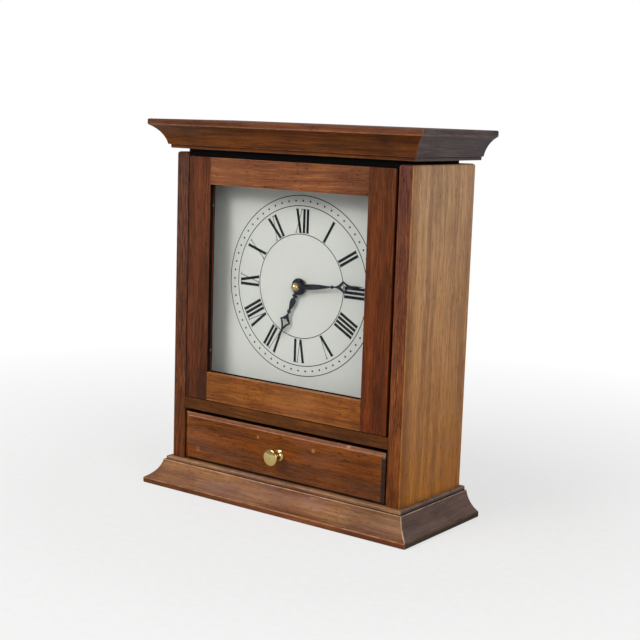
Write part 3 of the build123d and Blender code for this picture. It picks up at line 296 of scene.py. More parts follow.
def wood(
    name, run, shift, dark, middle, light, rubbed_and_lit,
    low_tint=(1.0, 1.0, 1.0, 1.0), scale=70.0, figure=0.8, lines=0.5, flecks=0.5, bloom=0.0, wear_and_highlight=0.7,
    pale=(), stained=(), specular=0.14, front_tint=None,
):
    """Satin varnished wood with its grain along one axis, in four tones from 0 to 255."""
    material, tree, shader = start_material(name)
    rubbed_lit_tone = colour(*rubbed_and_lit)
    grain = use_group(tree, grain_group, {
        "Long": runs[run],
        "Short": short_runs[run],
        "Shift": shift,
        "Dark": colour(*dark),
        "Middle": colour(*middle),
        "Light": colour(*light),
        "Low Tint": low_tint,
        "Figure Scale": scale,
        "Figure": figure,
        "Lines": lines,
        "Flecks": flecks,
        "Bloom": bloom,
    })
    # Arris lightening: partly rubbing, partly painted highlight
    wear_inputs = {"Color": grain.outputs["Color"], "Rubbed And Lit": rubbed_lit_tone, "Amount": wear_and_highlight}
    worn_and_lit = use_group(tree, wear_highlight_group, wear_inputs)
    marked = dings(tree, worn_and_lit.outputs["Color"], rubbed_lit_tone, pale)
    marked = dings(tree, marked, stain_tone, stained)
    if front_tint:
        depth = put(tree, "ShaderNodeTexCoord").outputs["Object"]
        depth = put(tree, "ShaderNodeSeparateXYZ", {"Vector": depth}).outputs["Y"]
        front_share = span(tree, depth, front_y + 14.0 * mm, front_y + 5.0 * mm)
        marked = blend_colours(tree, front_share, marked, front_tint, "MULTIPLY")
    tree.links.new(marked, shader.inputs["Base Color"])
    tree.links.new(grain.outputs["Roughness"], shader.inputs["Roughness"])
    tree.links.new(bump(tree, grain.outputs["Height"], 0.3, 0.0001), shader.inputs["Normal"])
    shader.inputs["Specular IOR Level"].default_value = specular
    return material


side_face = wood(
    "side_wood", "Z", (0.31, 0.07, 0.0),
    (159, 123, 95), (195, 155, 115), (241, 199, 146), (206, 156, 84),
    low_tint=(0.76, 0.47, 0.1, 1.0), scale=95.0, figure=0.38, lines=0.5, flecks=0.6, bloom=0.12,
    front_tint=(0.78, 0.69, 0.62, 1.0),
)
side_edge = wood(
    "side_edge_wood", "Z", (0.11, 0.53, 0.0),
    (84, 47, 37), (112, 65, 51), (140, 84, 58), (206, 148, 70),
    low_tint=(1.4, 1.18, 0.28, 1.0), scale=110.0, figure=1.0, lines=0.85, flecks=0.9, wear_and_highlight=0.95,
)
side_edge_left = wood(
    "side_edge_left_wood", "Z", (0.17, 0.33, 0.2),
    (77, 47, 39), (102, 66, 52), (131, 86, 59), (150, 100, 62),
    low_tint=(1.1, 0.74, 0.25, 1.0), scale=110.0, figure=1.0, lines=0.85, flecks=0.9, wear_and_highlight=0.6,
)
stile_finish = wood(
    "stile_wood", "Z", (0.7, 0.2, 0.4),
    (73, 38, 16), (104, 55, 26), (134, 69, 30), (132, 80, 52),
    low_tint=(1.38, 0.94, 0.12, 1.0), scale=110.0, figure=0.65, lines=0.7, flecks=0.7,
)
stile_left = wood(
    "stile_left_wood", "Z", (0.4, 0.6, 0.1),
    (84, 46, 28), (118, 64, 39), (149, 82, 47), (132, 80, 52),
    low_tint=(0.5, 0.4, 0.15, 1.0), scale=110.0, figure=0.65, lines=0.7, flecks=0.7,
)
top_rail_finish = wood(
    "rail_wood", "X", (0.2, 0.6, 0.1),
    (105, 58, 37), (142, 86, 52), (177, 114, 66), (170, 112, 74),
    scale=80.0, lines=0.5, flecks=1.0,
    pale=((front_spot(-60.0, 275.0), 0.035, 0.14),),
    stained=((front_spot(88.0, 275.0), 0.045, 0.42),),
)
low_rail_finish = wood(
    "low_rail_wood", "X", (0.6, 0.1, 0.7),
    (110, 58, 21), (151, 88, 32), (188, 115, 47), (190, 132, 84),
    scale=80.0, lines=0.5, flecks=1.0,
    pale=((front_spot(15.0, 92.0), 0.032, 0.14),),
    stained=((front_spot(-65.0, 92.0), 0.032, 0.2),),
)
drawer_finish = wood(
    "drawer_wood", "X", (0.5, 0.1, 0.9),
    (91, 48, 6), (133, 69, 11), (165, 91, 15), (178, 118, 68),
    scale=85.0, figure=0.4, lines=0.7, flecks=1.0, bloom=0.12,
    pale=(
        (front_spot(-23.2, 57.2), 0.0016, 0.85),
        (front_spot(34.2, 55.6), 0.0022, 0.8),
        (front_spot(-89.4, 34.9), 0.0030, 0.35),
    ),
    stained=(
        (front_spot(85.0, 36.0), 0.035, 0.3),
        (front_spot(30.0, 24.0), 0.03, 0.25),
        (front_spot(-40.0, 26.0), 0.03, 0.15),
    ),
)
shelf_finish = wood(
    "shelf_wood", "X", (0.9, 0.3, 0.2),
    (68, 36, 6), (102, 56, 12), (135, 76, 19), (108, 70, 48),
    scale=70.0,
)
# Crown front: darker wood that paints the shade of the downward-facing cove; it is also used on the crown
# panel and the crown's top faces
crown_shaded = wood(
    "crown_shaded_wood", "X", (0.3, 0.2, 0.8),
    (67, 31, 1), (106, 55, 2), (144, 76, 4), (150, 104, 84),
    scale=75.0, lines=0.45, flecks=0.7,
)
# Side runs of the crown: grey-brown wood with painted shade and a painted bluish reflection
crown_side_shaded = wood(
    "crown_side_shaded_wood", "Y", (0.1, 0.7, 0.5),
    (58, 49, 53), (79, 69, 70), (102, 89, 86), (126, 108, 100),
    scale=75.0, lines=0.45, flecks=0.6,
)
base_front = wood(
    "moulding_wood", "X", (0.9, 0.25, 0.35),
    (105, 64, 38), (145, 98, 63), (186, 138, 88), (206, 164, 130),
    scale=75.0, figure=0.8, lines=0.35, flecks=0.8, bloom=0.42, wear_and_highlight=0.9,
    pale=((front_spot(-100.0, 12.0, -12.2), 0.05, 0.06),),
    stained=((front_spot(100.0, 12.0, -12.2), 0.045, 0.3),),
)
# Side runs of the base: grey-brown wood with painted shade and a painted greyish reflection
base_side_shaded = wood(
    "moulding_side_shaded_wood", "Y", (0.8, 0.4, 0.3),
    (75, 58, 53), (100, 82, 75), (129, 103, 91), (178, 150, 132),
    scale=75.0, figure=0.6, lines=0.25, flecks=0.5, bloom=0.25, wear_and_highlight=1.0,
)
base_lip = wood(
    "base_lip_wood", "X", (0.4, 0.1, 0.2),
    (78, 40, 20), (108, 58, 28), (150, 88, 44), (190, 140, 104),
    scale=75.0, lines=0.4, flecks=0.6, wear_and_highlight=0.9,
)
base_side_lip = wood(
    "base_side_lip_wood", "Y", (0.4, 0.1, 0.2),
    (38, 28, 20), (52, 38, 28), (72, 54, 38), (120, 100, 84),
    scale=75.0, lines=0.4, flecks=0.6, wear_and_highlight=0.7,
)
# Top bevel of the drawer front: a lighter copy of the drawer wood, painted light where the bevel faces up
drawer_bevel_lit = wood(
    "drawer_bevel_lit_wood", "X", (0.5, 0.1, 0.9),
    (108, 62, 38), (136, 86, 58), (162, 110, 78), (190, 138, 108),
    scale=48.0, lines=0.5, flecks=0.9,
    pale=((front_spot(68.7, 65.0, 1.0), 0.0022, 0.8),),
)
# Right and lower bevels of the drawer front: a darker copy of the drawer wood, painted shade
drawer_bevel_shaded = wood(
    "drawer_end_bevel_shaded_wood", "X", (0.5, 0.1, 0.9),
    (44, 26, 17), (56, 34, 22), (70, 44, 30), (150, 116, 100),
    scale=48.0, lines=0.5, flecks=0.9, wear_and_highlight=0.3,
    pale=((front_spot(103.2, 64.0, 0.6), 0.0030, 0.7),),
)
# Top, bottom and end faces of the drawer front: dark brown painted shade, so the gaps round the drawer look
# dark
drawer_edge_shade = wood(
    "drawer_edge_shade_wood", "X", (0.2, 0.4, 0.9),
    (48, 26, 15), (62, 35, 21), (78, 46, 28), (96, 60, 40),
    scale=60.0, lines=0.5, flecks=0.6, specular=0.05,
)
# Stile faces at the case wall: a darker copy of the stile wood, painted shade for the gap between door and
# case
stile_gap_shade = wood(
    "stile_gap_shade_wood", "Z", (0.5, 0.1, 0.9),
    (76, 34, 14), (92, 44, 18), (108, 54, 24), (120, 66, 34),
    scale=48.0,
)
gap_finish = wood(
    "gap_wood", "X", (0.5, 0.1, 0.9),
    (14, 9, 7), (20, 13, 10), (28, 18, 13), (40, 26, 18),
    scale=48.0, specular=0.05,
)
# Crown lip: lighter than the crown front, which carries the cove's painted shade
crown_lip = wood(
    "crown_lip_wood", "X", (0.3, 0.5, 0.1),
    (76, 41, 26), (105, 59, 36), (136, 81, 45), (176, 124, 96),
    scale=75.0, lines=0.4, flecks=0.7,
)
plain_finish = wood(
    "plain_wood", "Y", (0.1, 0.1, 0.7),
    (172, 140, 102), (198, 166, 126), (216, 188, 148), (222, 196, 158),
    scale=55.0, figure=0.6, lines=0.2, flecks=0.2, wear_and_highlight=0.3,
)
black_finish = wood(
    "black_wood", "X", (0.3, 0.3, 0.3),
    (5, 5, 5), (9, 8, 8), (17, 15, 14), (48, 40, 34),
    scale=60.0, lines=0.3, flecks=0.3, wear_and_highlight=0.3, specular=0.04,
)
back_finish = wood(
    "back_wood", "Z", (0.6, 0.9, 0.2),
    (104, 74, 48), (134, 100, 68), (160, 124, 88), (170, 136, 98),
    scale=32.0, lines=0.3, flecks=0.5, wear_and_highlight=0.4,
)


def plain(name, base, toned, scale, amount, roughness, metallic=0.0, height=0.1, specular=0.5):
    """Plain surface with fine tone, gloss and height variation, in two tones from 0 to 255."""
    material, tree, shader = start_material(name)
    inputs = {"Color": colour(*base), "Toned": colour(*toned), "Scale": scale, "Amount": amount}
    speckle = use_group(tree, speckle_group, inputs)
    tree.links.new(speckle.outputs["Color"], shader.inputs["Base Color"])
    rough = span(tree, speckle.outputs["Height"], 0.3, 0.7, roughness - 0.05, roughness + 0.05)
    tree.links.new(rough, shader.inputs["Roughness"])
    tree.links.new(bump(tree, speckle.outputs["Height"], height, 0.0001), shader.inputs["Normal"])
    shader.inputs["Metallic"].default_value = metallic
    shader.inputs["Specular IOR Level"].default_value = specular
    return material


dial_finish = plain(
    "dial_paint", (186, 186, 182), (176, 175, 170), 260.0, 0.3, 0.6, height=0.03, specular=0.15,
)
print_finish = plain("dial_print", (8, 11, 17), (18, 21, 27), 900.0, 0.5, 0.6, height=0.05, specular=0.08)
hand_finish = plain("hand_black", (7, 13, 26), (15, 25, 44), 500.0, 0.5, 0.3, height=0.04, specular=0.25)
knob_finish = plain("polished_brass", (216, 190, 126), (196, 164, 100), 300.0, 0.3, 0.07, 1.0, 0.02)
cap_finish = plain("cap_brass", (200, 176, 128), (172, 146, 98), 900.0, 0.4, 0.2, 1.0, 0.02)
turned_finish = plain("turned_brass", (184, 160, 104), (150, 124, 76), 800.0, 0.5, 0.3, metallic=1.0)
bronze_finish = plain("dark_bronze", (58, 44, 30), (36, 28, 22), 800.0, 0.5, 0.45, metallic=1.0)
steel_finish = plain("screw_steel", (176, 176, 176), (140, 140, 144), 900.0, 0.5, 0.34, metallic=1.0)
nickel_finish = plain("magnet_nickel", (206, 206, 208), (170, 170, 174), 700.0, 0.4, 0.2, metallic=1.0)
movement_finish = plain("movement_plastic", (26, 26, 28), (42, 42, 44), 1600.0, 0.5, 0.5, height=0.35)
gear_finish = plain("gear_plastic", (224, 222, 210), (204, 200, 184), 500.0, 0.4, 0.4)
rubber_finish = plain("gasket_rubber", (28, 28, 28), (48, 47, 45), 1200.0, 0.5, 0.75, height=0.3)
board_finish = plain("circuit_green", (28, 92, 52), (60, 128, 74), 420.0, 0.7, 0.4)


def make_glass():
    """Clear window glass that lets light through to the dial."""
    material, tree, shader = start_material("clear_glass")
    shader.inputs["Base Color"].default_value = (0.985, 0.99, 0.98, 1.0)
    shader.inputs["Transmission Weight"].default_value = 1.0
    shader.inputs["IOR"].default_value = 1.18
    place = put(tree, "ShaderNodeTexCoord").outputs["Object"]
    smear = span(tree, noise(tree, place, 26.0, 4.0, 0.6), 0.42, 0.66, 0.0, 0.035)
    tree.links.new(smear, shader.inputs["Roughness"])
    clear = put(tree, "ShaderNodeBsdfTransparent", {"Color": (0.94, 0.97, 0.96, 1.0)})
    shadow = put(tree, "ShaderNodeLightPath").outputs["Is Shadow Ray"]
    mixed = put(tree, "ShaderNodeMixShader", {"Fac": shadow})
    tree.links.new(shader.outputs["BSDF"], mixed.inputs[1])
    tree.links.new(clear.outputs["BSDF"], mixed.inputs[2])
    output = tree.nodes["Material Output"]
    tree.links.new(mixed.outputs["Shader"], output.inputs["Surface"])
    return material


# Places along the battery where the copper tone starts and where its bare ends start
copper_from = 12.0 * mm
plus_end = 23.6 * mm
minus_end = -24.8 * mm


def make_wrap():
    """Plain battery wrap in two tones, with its bare ends."""
    material, tree, shader = start_material("battery_wrap")
    place = put(tree, "ShaderNodeTexCoord").outputs["Object"]
    across = put(tree, "ShaderNodeSeparateXYZ", {"Vector": place}).outputs["X"]
    copper = span(tree, across, copper_from, copper_from + 0.2 * mm)
    wrapped = blend_colours(tree, copper, colour(34, 40, 52), colour(176, 104, 62))
    plus = span(tree, across, plus_end, plus_end + 0.1 * mm)
    minus = span(tree, across, minus_end, minus_end - 0.1 * mm)
    cap = number_step(tree, "MAXIMUM", plus, minus)
    tree.links.new(blend_colours(tree, cap, wrapped, colour(190, 190, 192)), shader.inputs["Base Color"])
    tree.links.new(cap, shader.inputs["Metallic"])
    tree.links.new(span(tree, noise(tree, place, 300.0), 0.3, 0.7, 0.18, 0.3), shader.inputs["Roughness"])
    return material


def make_winding():
    """Enamelled copper wire wound round the coil former."""
    material, tree, shader = start_material("coil_copper")
    place = put(tree, "ShaderNodeTexCoord").outputs["Object"]
    waves = {"Vector": place, "Scale": 1300.0, "Distortion": 0.4}
    turns = put(tree, "ShaderNodeTexWave", waves, bands_direction="X").outputs["Fac"]
    shade = blend_colours(tree, turns, colour(128, 62, 34), colour(206, 116, 70))
    tree.links.new(shade, shader.inputs["Base Color"])
    tree.links.new(bump(tree, turns, 0.4, 0.0001), shader.inputs["Normal"])
    shader.inputs["Metallic"].default_value = 1.0
    shader.inputs["Roughness"].default_value = 0.32
    return material


glass_finish = make_glass()
wrap_finish = make_wrap()
winding_finish = make_winding()

# Finishes of the nodes that are shown as they are

node_finishes = {
    base_front: ("base_board",),
    crown_shaded: ("crown_panel",),
    shelf_finish: ("shelf",),
    plain_finish: (
        "drawer_side_left", "drawer_side_right", "drawer_bottom", "drawer_back",
        "top_cleat_left", "top_cleat_right",
    ),
    black_finish: ("top_board", "dial_board", "door_stop"),
    back_finish: ("back_panel",),
    hand_finish: ("hour_hand", "minute_hand"),
    glass_finish: ("glass",),
    knob_finish: ("drawer_knob",),
    cap_finish: ("cap_nut",),
    turned_finish: ("fixing_bush", "fixing_nut", "dial_washer", "centre_arbor"),
    bronze_finish: ("hinge_washer",),
    steel_finish: (
        "base_screws", "crown_screws", "back_panel_screws", "hinge_pins", "glazing_pins", "catch_strike",
        "knob_screw", "motor_stator", "battery_contacts",
    ),
    nickel_finish: ("catch_magnet", "quartz_crystal"),
    movement_finish: ("movement_case", "movement_cover"),
    gear_finish: ("hour_wheel", "minute_wheel", "third_wheel", "setting_knob", "drive_unit"),
    rubber_finish: ("rubber_gasket",),
    wrap_finish: ("battery",),
    winding_finish: ("motor_coil",),
    board_finish: ("circuit_board",),
}
for finish, names in node_finishes.items():
    for name in names:
        nodes[name].material_slots[0].material = finish


# Boards with eased arrises in place of the sharp CAD boards

side_arris = 0.5 * mm
door_arris = 0.4 * mm
drawer_arris = 0.35 * mm
moulding_arris = 0.6 * mm


def joined_copy(names):
    """Merged copy of some nodes, each with its own material index."""
    shape = bmesh.new()
    for index, name in enumerate(names):
        known = len(shape.faces)
        shape.from_mesh(nodes[name].data)
        shape.faces.ensure_lookup_table()
        for face in shape.faces[known:]:
            face.material_index = index
    bmesh.ops.remove_doubles(shape, verts=shape.verts, dist=0.002 * mm)
    return shape


def flatten_faces(shape):
    """Dissolves the triangles of flat faces into whole faces."""
    bmesh.ops.dissolve_limit(
        shape,
        angle_limit=radians(0.4),
        use_dissolve_boundaries=False,
        verts=shape.verts,
        edges=shape.edges,
        delimit={"MATERIAL"},
    )


def ease(shape, width, keep, sharpest=35.0, segments=2):
    """Rounds the convex arrises that keep() allows and marks the new faces as arris."""
    mark = shape.faces.layers.float.get("arris") or shape.faces.layers.float.new("arris")
    edges = []
    for edge in shape.edges:
        if len(edge.link_faces) != 2 or not edge.is_convex:
            continue
        if edge.calc_face_angle(0.0) < radians(sharpest):
            continue
        if keep((edge.verts[0].co + edge.verts[1].co) / 2, edge):
            edges.append(edge)
    made = bmesh.ops.bevel(
        shape,
        geom=edges,
        offset=width,
        offset_type="OFFSET",
        affect="EDGES",
        segments=segments,
        profile=0.5,
        material=-1,
        clamp_overlap=True,
    )
    for face in made["faces"]:
        face[mark] = 1.0


def show(shape, name, finishes, body, replaced=()):
    """Turns a bmesh into a shown piece that rides on a body."""
    mesh = bpy.data.meshes.new(name)
    for face in shape.faces:
        face.smooth = True
    shape.to_mesh(mesh)
    shape.free()
    mesh.set_sharp_from_angle(angle=radians(20.0))
    for finish in finishes:
        mesh.materials.append(finish)
    piece = bpy.data.objects.new(name, mesh)
    bpy.context.scene.collection.objects.link(piece)
    weighted = piece.modifiers.new("even_shading", "WEIGHTED_NORMAL")
    weighted.keep_sharp = True
    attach(piece, body)
    if replaced:
        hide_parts(*replaced)


def near(value, target, room=0.05):
    """True where two lengths in metres agree within some hundredths of a millimetre."""
    return abs(value - target) < room * mm


def long_edge(edge, least=2.0):
    """True for an edge longer than a few millimetres."""
    return edge.calc_length() > least * mm


def eased_board(node, finish, body, width, keep, cuts=()):
    """Board copied from its node: eased arrises, darker faces at the case wall that paint the shade of the
    door gap, and near-black faces at the opening.
    """
    shape = joined_copy([node])
    flatten_faces(shape)
    for point, normal in cuts:
        everything = list(shape.verts) + list(shape.edges) + list(shape.faces)
        bmesh.ops.bisect_plane(shape, geom=everything, dist=0.0, plane_co=point, plane_no=normal)
    ease(shape, width, keep)
    for face in shape.faces:
        if abs(face.normal.x) < 0.98:
            continue
        across = face.calc_center_median().x
        # Faces at the case wall get the painted shade of the door gap; faces at the opening get the
        # near-black finish
        if near(abs(across), inner_x, 4.0):
            face.material_index = 1
        elif near(across, opening_left, 0.6) or near(across, opening_right, 0.6):
            face.material_index = 2
    show(shape, node + "_eased", [finish, stile_gap_shade, gap_finish], body, [node])


def make_side(node, sign, edge_finish):
    """Side board: pale outer face, darker stained edges."""
    shape = joined_copy([node])
    flatten_faces(shape)

    def keep(middle, edge):
        seam = sign < 0 and near(middle.x, -inner_x) and near(middle.y, front_y, 1.0)
        return long_edge(edge, 8.0) and middle.z > base_top + 1.0 * mm and not seam

    ease(shape, side_arris, keep)
    mark = shape.faces.layers.float["arris"]
    # Lighter outer front arris of the side: rubbing and painted highlight
    rub_and_lit = 0.5 if sign > 0 else 0.4
    for face in shape.faces:
        middle = face.calc_center_median()
        outer = middle.x * sign > outer_x - 1.0 * mm
        worn_and_lit = outer and middle.y < front_y + 1.0 * mm and abs(face.normal.z) < 0.3
        face[mark] = rub_and_lit if worn_and_lit and abs(face.normal.y) < 0.95 else 0.0
        level = face.normal.x * sign > 0.9 or abs(face.normal.y) < 0.8 and face.normal.z < 0.8
        face.material_index = 0 if outer and level else 1
    show(shape, node + "_eased", [side_face, edge_finish], "case", [node])


make_side("right_side", 1, side_edge)
make_side("left_side", -1, side_edge_left)

opening_cuts = (
    (Vector((0.0, 0.0, opening_low)), Vector((0.0, 0.0, 1.0))),
    (Vector((0.0, 0.0, opening_high)), Vector((0.0, 0.0, 1.0))),
)


def make_stile(node, inner, finish):
    """Door stile, eased all round but where a rail meets it."""
    def keep(middle, edge):
        at_joint = near(middle.x, inner) and not opening_low < middle.z < opening_high
        seam = near(middle.x, door_left) and near(middle.y, front_y)
        outer = near(middle.y, front_y) or near(middle.y, door_back)
        return long_edge(edge) and outer and not at_joint and not seam

    eased_board(node, finish, "door", door_arris, keep, opening_cuts)


def make_rail(node, finish):
    """Door rail, eased along its length only."""
    def keep(middle, edge):
        across = near(middle.x, opening_left) or near(middle.x, opening_right)
        outer = near(middle.y, front_y) or near(middle.y, door_back)
        return long_edge(edge, 20.0) and outer and not across

    eased_board(node, finish, "door", door_arris, keep)


make_stile("left_stile", opening_left, stile_left)
make_stile("right_stile", opening_right, stile_finish)
make_rail("top_rail", top_rail_finish)
make_rail("bottom_rail", low_rail_finish)


# Widths of the bevels on the face, their depth, and how far the solid's own bevel reaches at most
bevel_wide = 3.0 * mm
low_bevel_wide = 1.5 * mm
bevel_deep = 1.1 * mm
bevel_reach = 4.0 * mm


def make_drawer_front():
    """Drawer front with softened bevels: a lighter top bevel with painted light, darker bevels at the right
    and below with painted shade, and painted shade on the top, bottom and end faces.
    """
    shape = joined_copy(["drawer_front"])
    flatten_faces(shape)
    low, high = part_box("drawer_front")
    for vertex in shape.verts:
        place = vertex.co
        rim = min(place.x - low.x, high.x - place.x, place.z - low.z, high.z - place.z)
        if rim > bevel_reach or place.y > low.y + bevel_reach:
            continue
        if near(place.y, low.y):
            place.x = min(max(place.x, low.x + bevel_wide), high.x - bevel_wide)
            place.z = min(max(place.z, low.z + low_bevel_wide), high.z - bevel_wide)
        elif near(rim, 0.0):
            place.y = low.y + bevel_deep
    bmesh.ops.recalc_face_normals(shape, faces=shape.faces)

    def keep(middle, edge):
        return long_edge(edge, 8.0) and middle.y < front_y + bevel_reach

    ease(shape, drawer_arris, keep, 12.0)
    mark = shape.faces.layers.float["arris"]
    for face in shape.faces:
        normal = face.normal
        if abs(normal.x) > 0.1:
            face[mark] = min(face[mark], 0.25)
        # Top, bottom and end faces: painted shade
        if normal.z > 0.9 or normal.z < -0.9 or abs(normal.x) > 0.9:
            face.material_index = 2
        # Upward bevel: painted light
        elif normal.z > 0.1:
            face.material_index = 1
        # Right and lower bevels: painted shade
        elif normal.x > 0.1 or normal.z < -0.1:
            face.material_index = 3
    finishes = [drawer_finish, drawer_bevel_lit, drawer_edge_shade, drawer_bevel_shaded]
    show(shape, "drawer_front_eased", finishes, "drawer", ["drawer_front"])


make_drawer_front()


# Mouldings

# Height of the lip and of the ledge in the section, and how far out the lip's face starts
lip_z = 4.0 * mm
ledge_z = 21.0 * mm
lip_out = 17.9 * mm


def moulding_profile():
    """Section of the moulding: places out and up, each with the lighter arris share (rubbing and painted
    highlight) and the painted shade of the face after it.
    """
    outline = set()
    for vertex in nodes["base_moulding_front"].data.vertices:
        out = vertex.co.x - outer_x
        if out > -0.001 * mm and near(out, front_y - vertex.co.y, 0.01):
            outline.add((round(out, 7), round(vertex.co.z, 7)))
    points = sorted(outline, key=lambda point: (point[1], point[0] if point[1] < 0.01 * mm else -point[0]))
    ridge, quirk = [point for point in points if near(point[1], ledge_z)]
    section = []
    for out, up in points:
        lip_top = lip_z < up < lip_z + 0.9 * mm
        bead_top = up > ledge_z + 2.0 * mm
        # Lighter lip top and bead top: rubbing and painted highlight
        worn_and_lit = 0.7 if lip_top else 0.4 if bead_top else 0.0
        # The ridge is rounded and gets the lighter arris share of rubbing and painted highlight, and the
        # quirk behind it gets painted shade
        if (out, up) == ridge:
            section.append((out + 0.08 * mm, up - 0.35 * mm, 1.0, 0.0))
            section.append((out - 0.35 * mm, up, 0.0, 0.2))
            section.append((quirk[0] + 0.7 * mm, up, 0.0, 0.8))
        elif (out, up) == quirk:
            section.append((out, up, 0.0, 0.8))
            section.append((out, up + 0.6 * mm, 0.0, 0.0))
        else:
            section.append((out, up, worn_and_lit, 0.0))
    return section


def calm_crown(shape):
    """Gives the crown's top face one finish and lightens its mitred corners less (rubbing and painted
    highlight).
    """
    mark = shape.faces.layers.float["arris"]
    for face in shape.faces:
        if face.normal.z > 0.9:
            face.material_index = 0
        if min(abs(face.normal.x), -face.normal.y) > 0.2:
            face[mark] = min(face[mark], 0.3)


def make_moulding(place, finishes, top_down):
    """Moulding round three sides in one mitred run. Finishes: front, side, front lip and side lip."""
    strips = [place + "_moulding_" + end for end in ("front", "left", "right")]
    low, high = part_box(strips[0])
    back_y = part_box(strips[1])[1].y
    section = moulding_profile()
    shape = bmesh.new()
    # Face marks: lighter arris share, and painted shade in the quirk
    arris = shape.faces.layers.float.new("arris")
    groove_shade = shape.faces.layers.float.new("groove_shade")
    order = shape.verts.layers.int.new("order")
    for step, point in enumerate(section):
        out, up = point[:2]
        z = high.z - up if top_down else low.z + up
        shape.verts.new((outer_x + out, back_y, z))[order] = step
    cap = shape.faces.new(shape.verts)
    cap.material_index = 1
    to_mitre = Matrix(((1, 0, 0, 0), (-1, 0, 0, front_y + outer_x), (0, 0, 1, 0), (0, 0, 0, 1)))
    to_other_side = Matrix.Scale(-1.0, 4, (1.0, 0.0, 0.0))
    to_back = Matrix(((1, 0, 0, 0), (0, 0, 0, back_y), (0, 0, 1, 0), (0, 0, 0, 1)))
    # The end of the section grows to the right mitre, across the front and back along the left side
    for index, turn in enumerate((to_mitre, to_other_side, to_back)):
        known = set(shape.faces)
        start = cap
        grown = bmesh.ops.extrude_face_region(shape, geom=[start])
        moved = [part for part in grown["geom"] if isinstance(part, bmesh.types.BMVert)]
        cap = [part for part in grown["geom"] if isinstance(part, bmesh.types.BMFace)][0]
        bmesh.ops.transform(shape, matrix=turn, verts=moved)
        if index > 0 and start.is_valid:
            bmesh.ops.delete(shape, geom=[start], context="FACES_ONLY")
        for face in set(shape.faces) - known - {cap}:
            steps = {vertex[order] for vertex in face.verts}
            step = max(steps) if len(section) - 1 in steps and 0 in steps else min(steps)
            out, up, face[arris], face[groove_shade] = section[step]
            face.material_index = (2 if out > lip_out else 0) + (0 if index == 1 else 1)
    bmesh.ops.recalc_face_normals(shape, faces=shape.faces)

    def keep(middle, edge):
        outside = abs(middle.x) > outer_x + 0.5 * mm
        return outside and all(near(abs(v.co.x) - outer_x, front_y - v.co.y, 0.02) for v in edge.verts)

    ease(shape, moulding_arris, keep, 20.0, 3)
    if top_down:
        calm_crown(shape)
    show(shape, place + "_moulding", finishes, "case", strips)


make_moulding("base", [base_front, base_side_shaded, base_lip, base_side_lip], False)
make_moulding("crown", [crown_shaded, crown_side_shaded, crown_lip, crown_side_shaded], True)


# Dial plate

plate_half_width = 94.6 * mm
plate_bottom = 100.7 * mm


def make_dial_plate():
    """Dial plate, a little narrower and longer than the solid, as its edges show in the photograph."""
    shape = joined_copy(["dial_plate"])
    for vertex in shape.verts:
        if near(vertex.co.z, dial_low.z):
            vertex.co.z = plate_bottom
        if near(vertex.co.x, dial_low.x) or near(vertex.co.x, dial_high.x):
            vertex.co.x = min(max(vertex.co.x, -plate_half_width), plate_half_width)
    show(shape, "dial_plate_painted", [dial_finish], "case", ["dial_plate"])


make_dial_plate()

# Print on the dial: rings, minute dots and Roman numerals, a thin layer on the plate

dial_y = dial_low.y
dial_z = (dial_low.z + dial_high.z) / 2
ink = 0.03 * mm
dial_centre = Vector((0.0, dial_y, dial_z))

# Sizes of the print in millimetres
ring_radii_and_widths = ((74.7, 0.7), (66.3, 0.7), (43.1, 0.65))
dot_circle = 70.5
dot_radius = 0.85
foot = 44.1
head = 63.6
thick = 1.22
thin = 0.27
bar = 0.32
wide_serif = 1.75
middle_serif = 1.6
narrow_serif = 1.1


def on_dial(across, out, turn):
    """Point on the dial, millimetres across and out from its centre, turned clockwise by some degrees."""
    angle = radians(turn)
    x = across * cos(angle) + out * sin(angle)
    z = -across * sin(angle) + out * cos(angle)
    return Vector((x * mm, dial_y, dial_z + z * mm))


def ink_patch(shape, corners, turn):
    """Flat printed patch between some corners given across and out, raised by the thickness of the ink."""
    points = [shape.verts.new(on_dial(across, out, turn)) for across, out in corners]
    face = shape.faces.new(points)
    raised = bmesh.ops.extrude_face_region(shape, geom=[face])
    moved = [part for part in raised["geom"] if isinstance(part, bmesh.types.BMVert)]
    bmesh.ops.translate(shape, verts=moved, vec=Vector((0.0, -ink, 0.0)))


def make_rings():
    """Three printed rings, each spun from the outline of a small section."""
    shape = bmesh.new()
    for radius, width in ring_radii_and_widths:
        section = [
            shape.verts.new(dial_centre + Vector(((radius + side * width / 2) * mm, back, 0.0)))
            for side, back in ((-1, 0.0), (1, 0.0), (1, -ink), (-1, -ink))
        ]
        outline = [shape.edges.new((section[step - 1], section[step])) for step in range(4)]
        bmesh.ops.spin(
            shape,
            geom=section + outline,
            cent=dial_centre,
            axis=(0.0, 1.0, 0.0),
            angle=2 * pi,
            steps=160,
            use_merge=True,
        )
    bmesh.ops.recalc_face_normals(shape, faces=shape.faces)
    show(shape, "dial_rings", [print_finish], "case")


def make_dots():
    """Sixty printed minute dots."""
    shape = bmesh.new()
    upright = Matrix.Rotation(radians(90.0), 4, "X")
    for minute in range(60):
        place = Matrix.Translation(on_dial(0.0, dot_circle, minute * 6.0) - Vector((0.0, ink / 2, 0.0)))
        bmesh.ops.create_cone(
            shape,
            cap_ends=True,
            segments=14,
            radius1=dot_radius * mm,
            radius2=dot_radius * mm,
            depth=ink,
            matrix=place @ upright,
        )
    show(shape, "dial_minute_dots", [print_finish], "case")


def stroke(shape, low_across, high_across, half, turn):
    """Straight stroke of a numeral from its foot to its head."""
    corners = [
        (low_across - half, foot),
        (low_across + half, foot),
        (high_across + half, head),
        (high_across - half, head),
    ]
    ink_patch(shape, corners, turn)


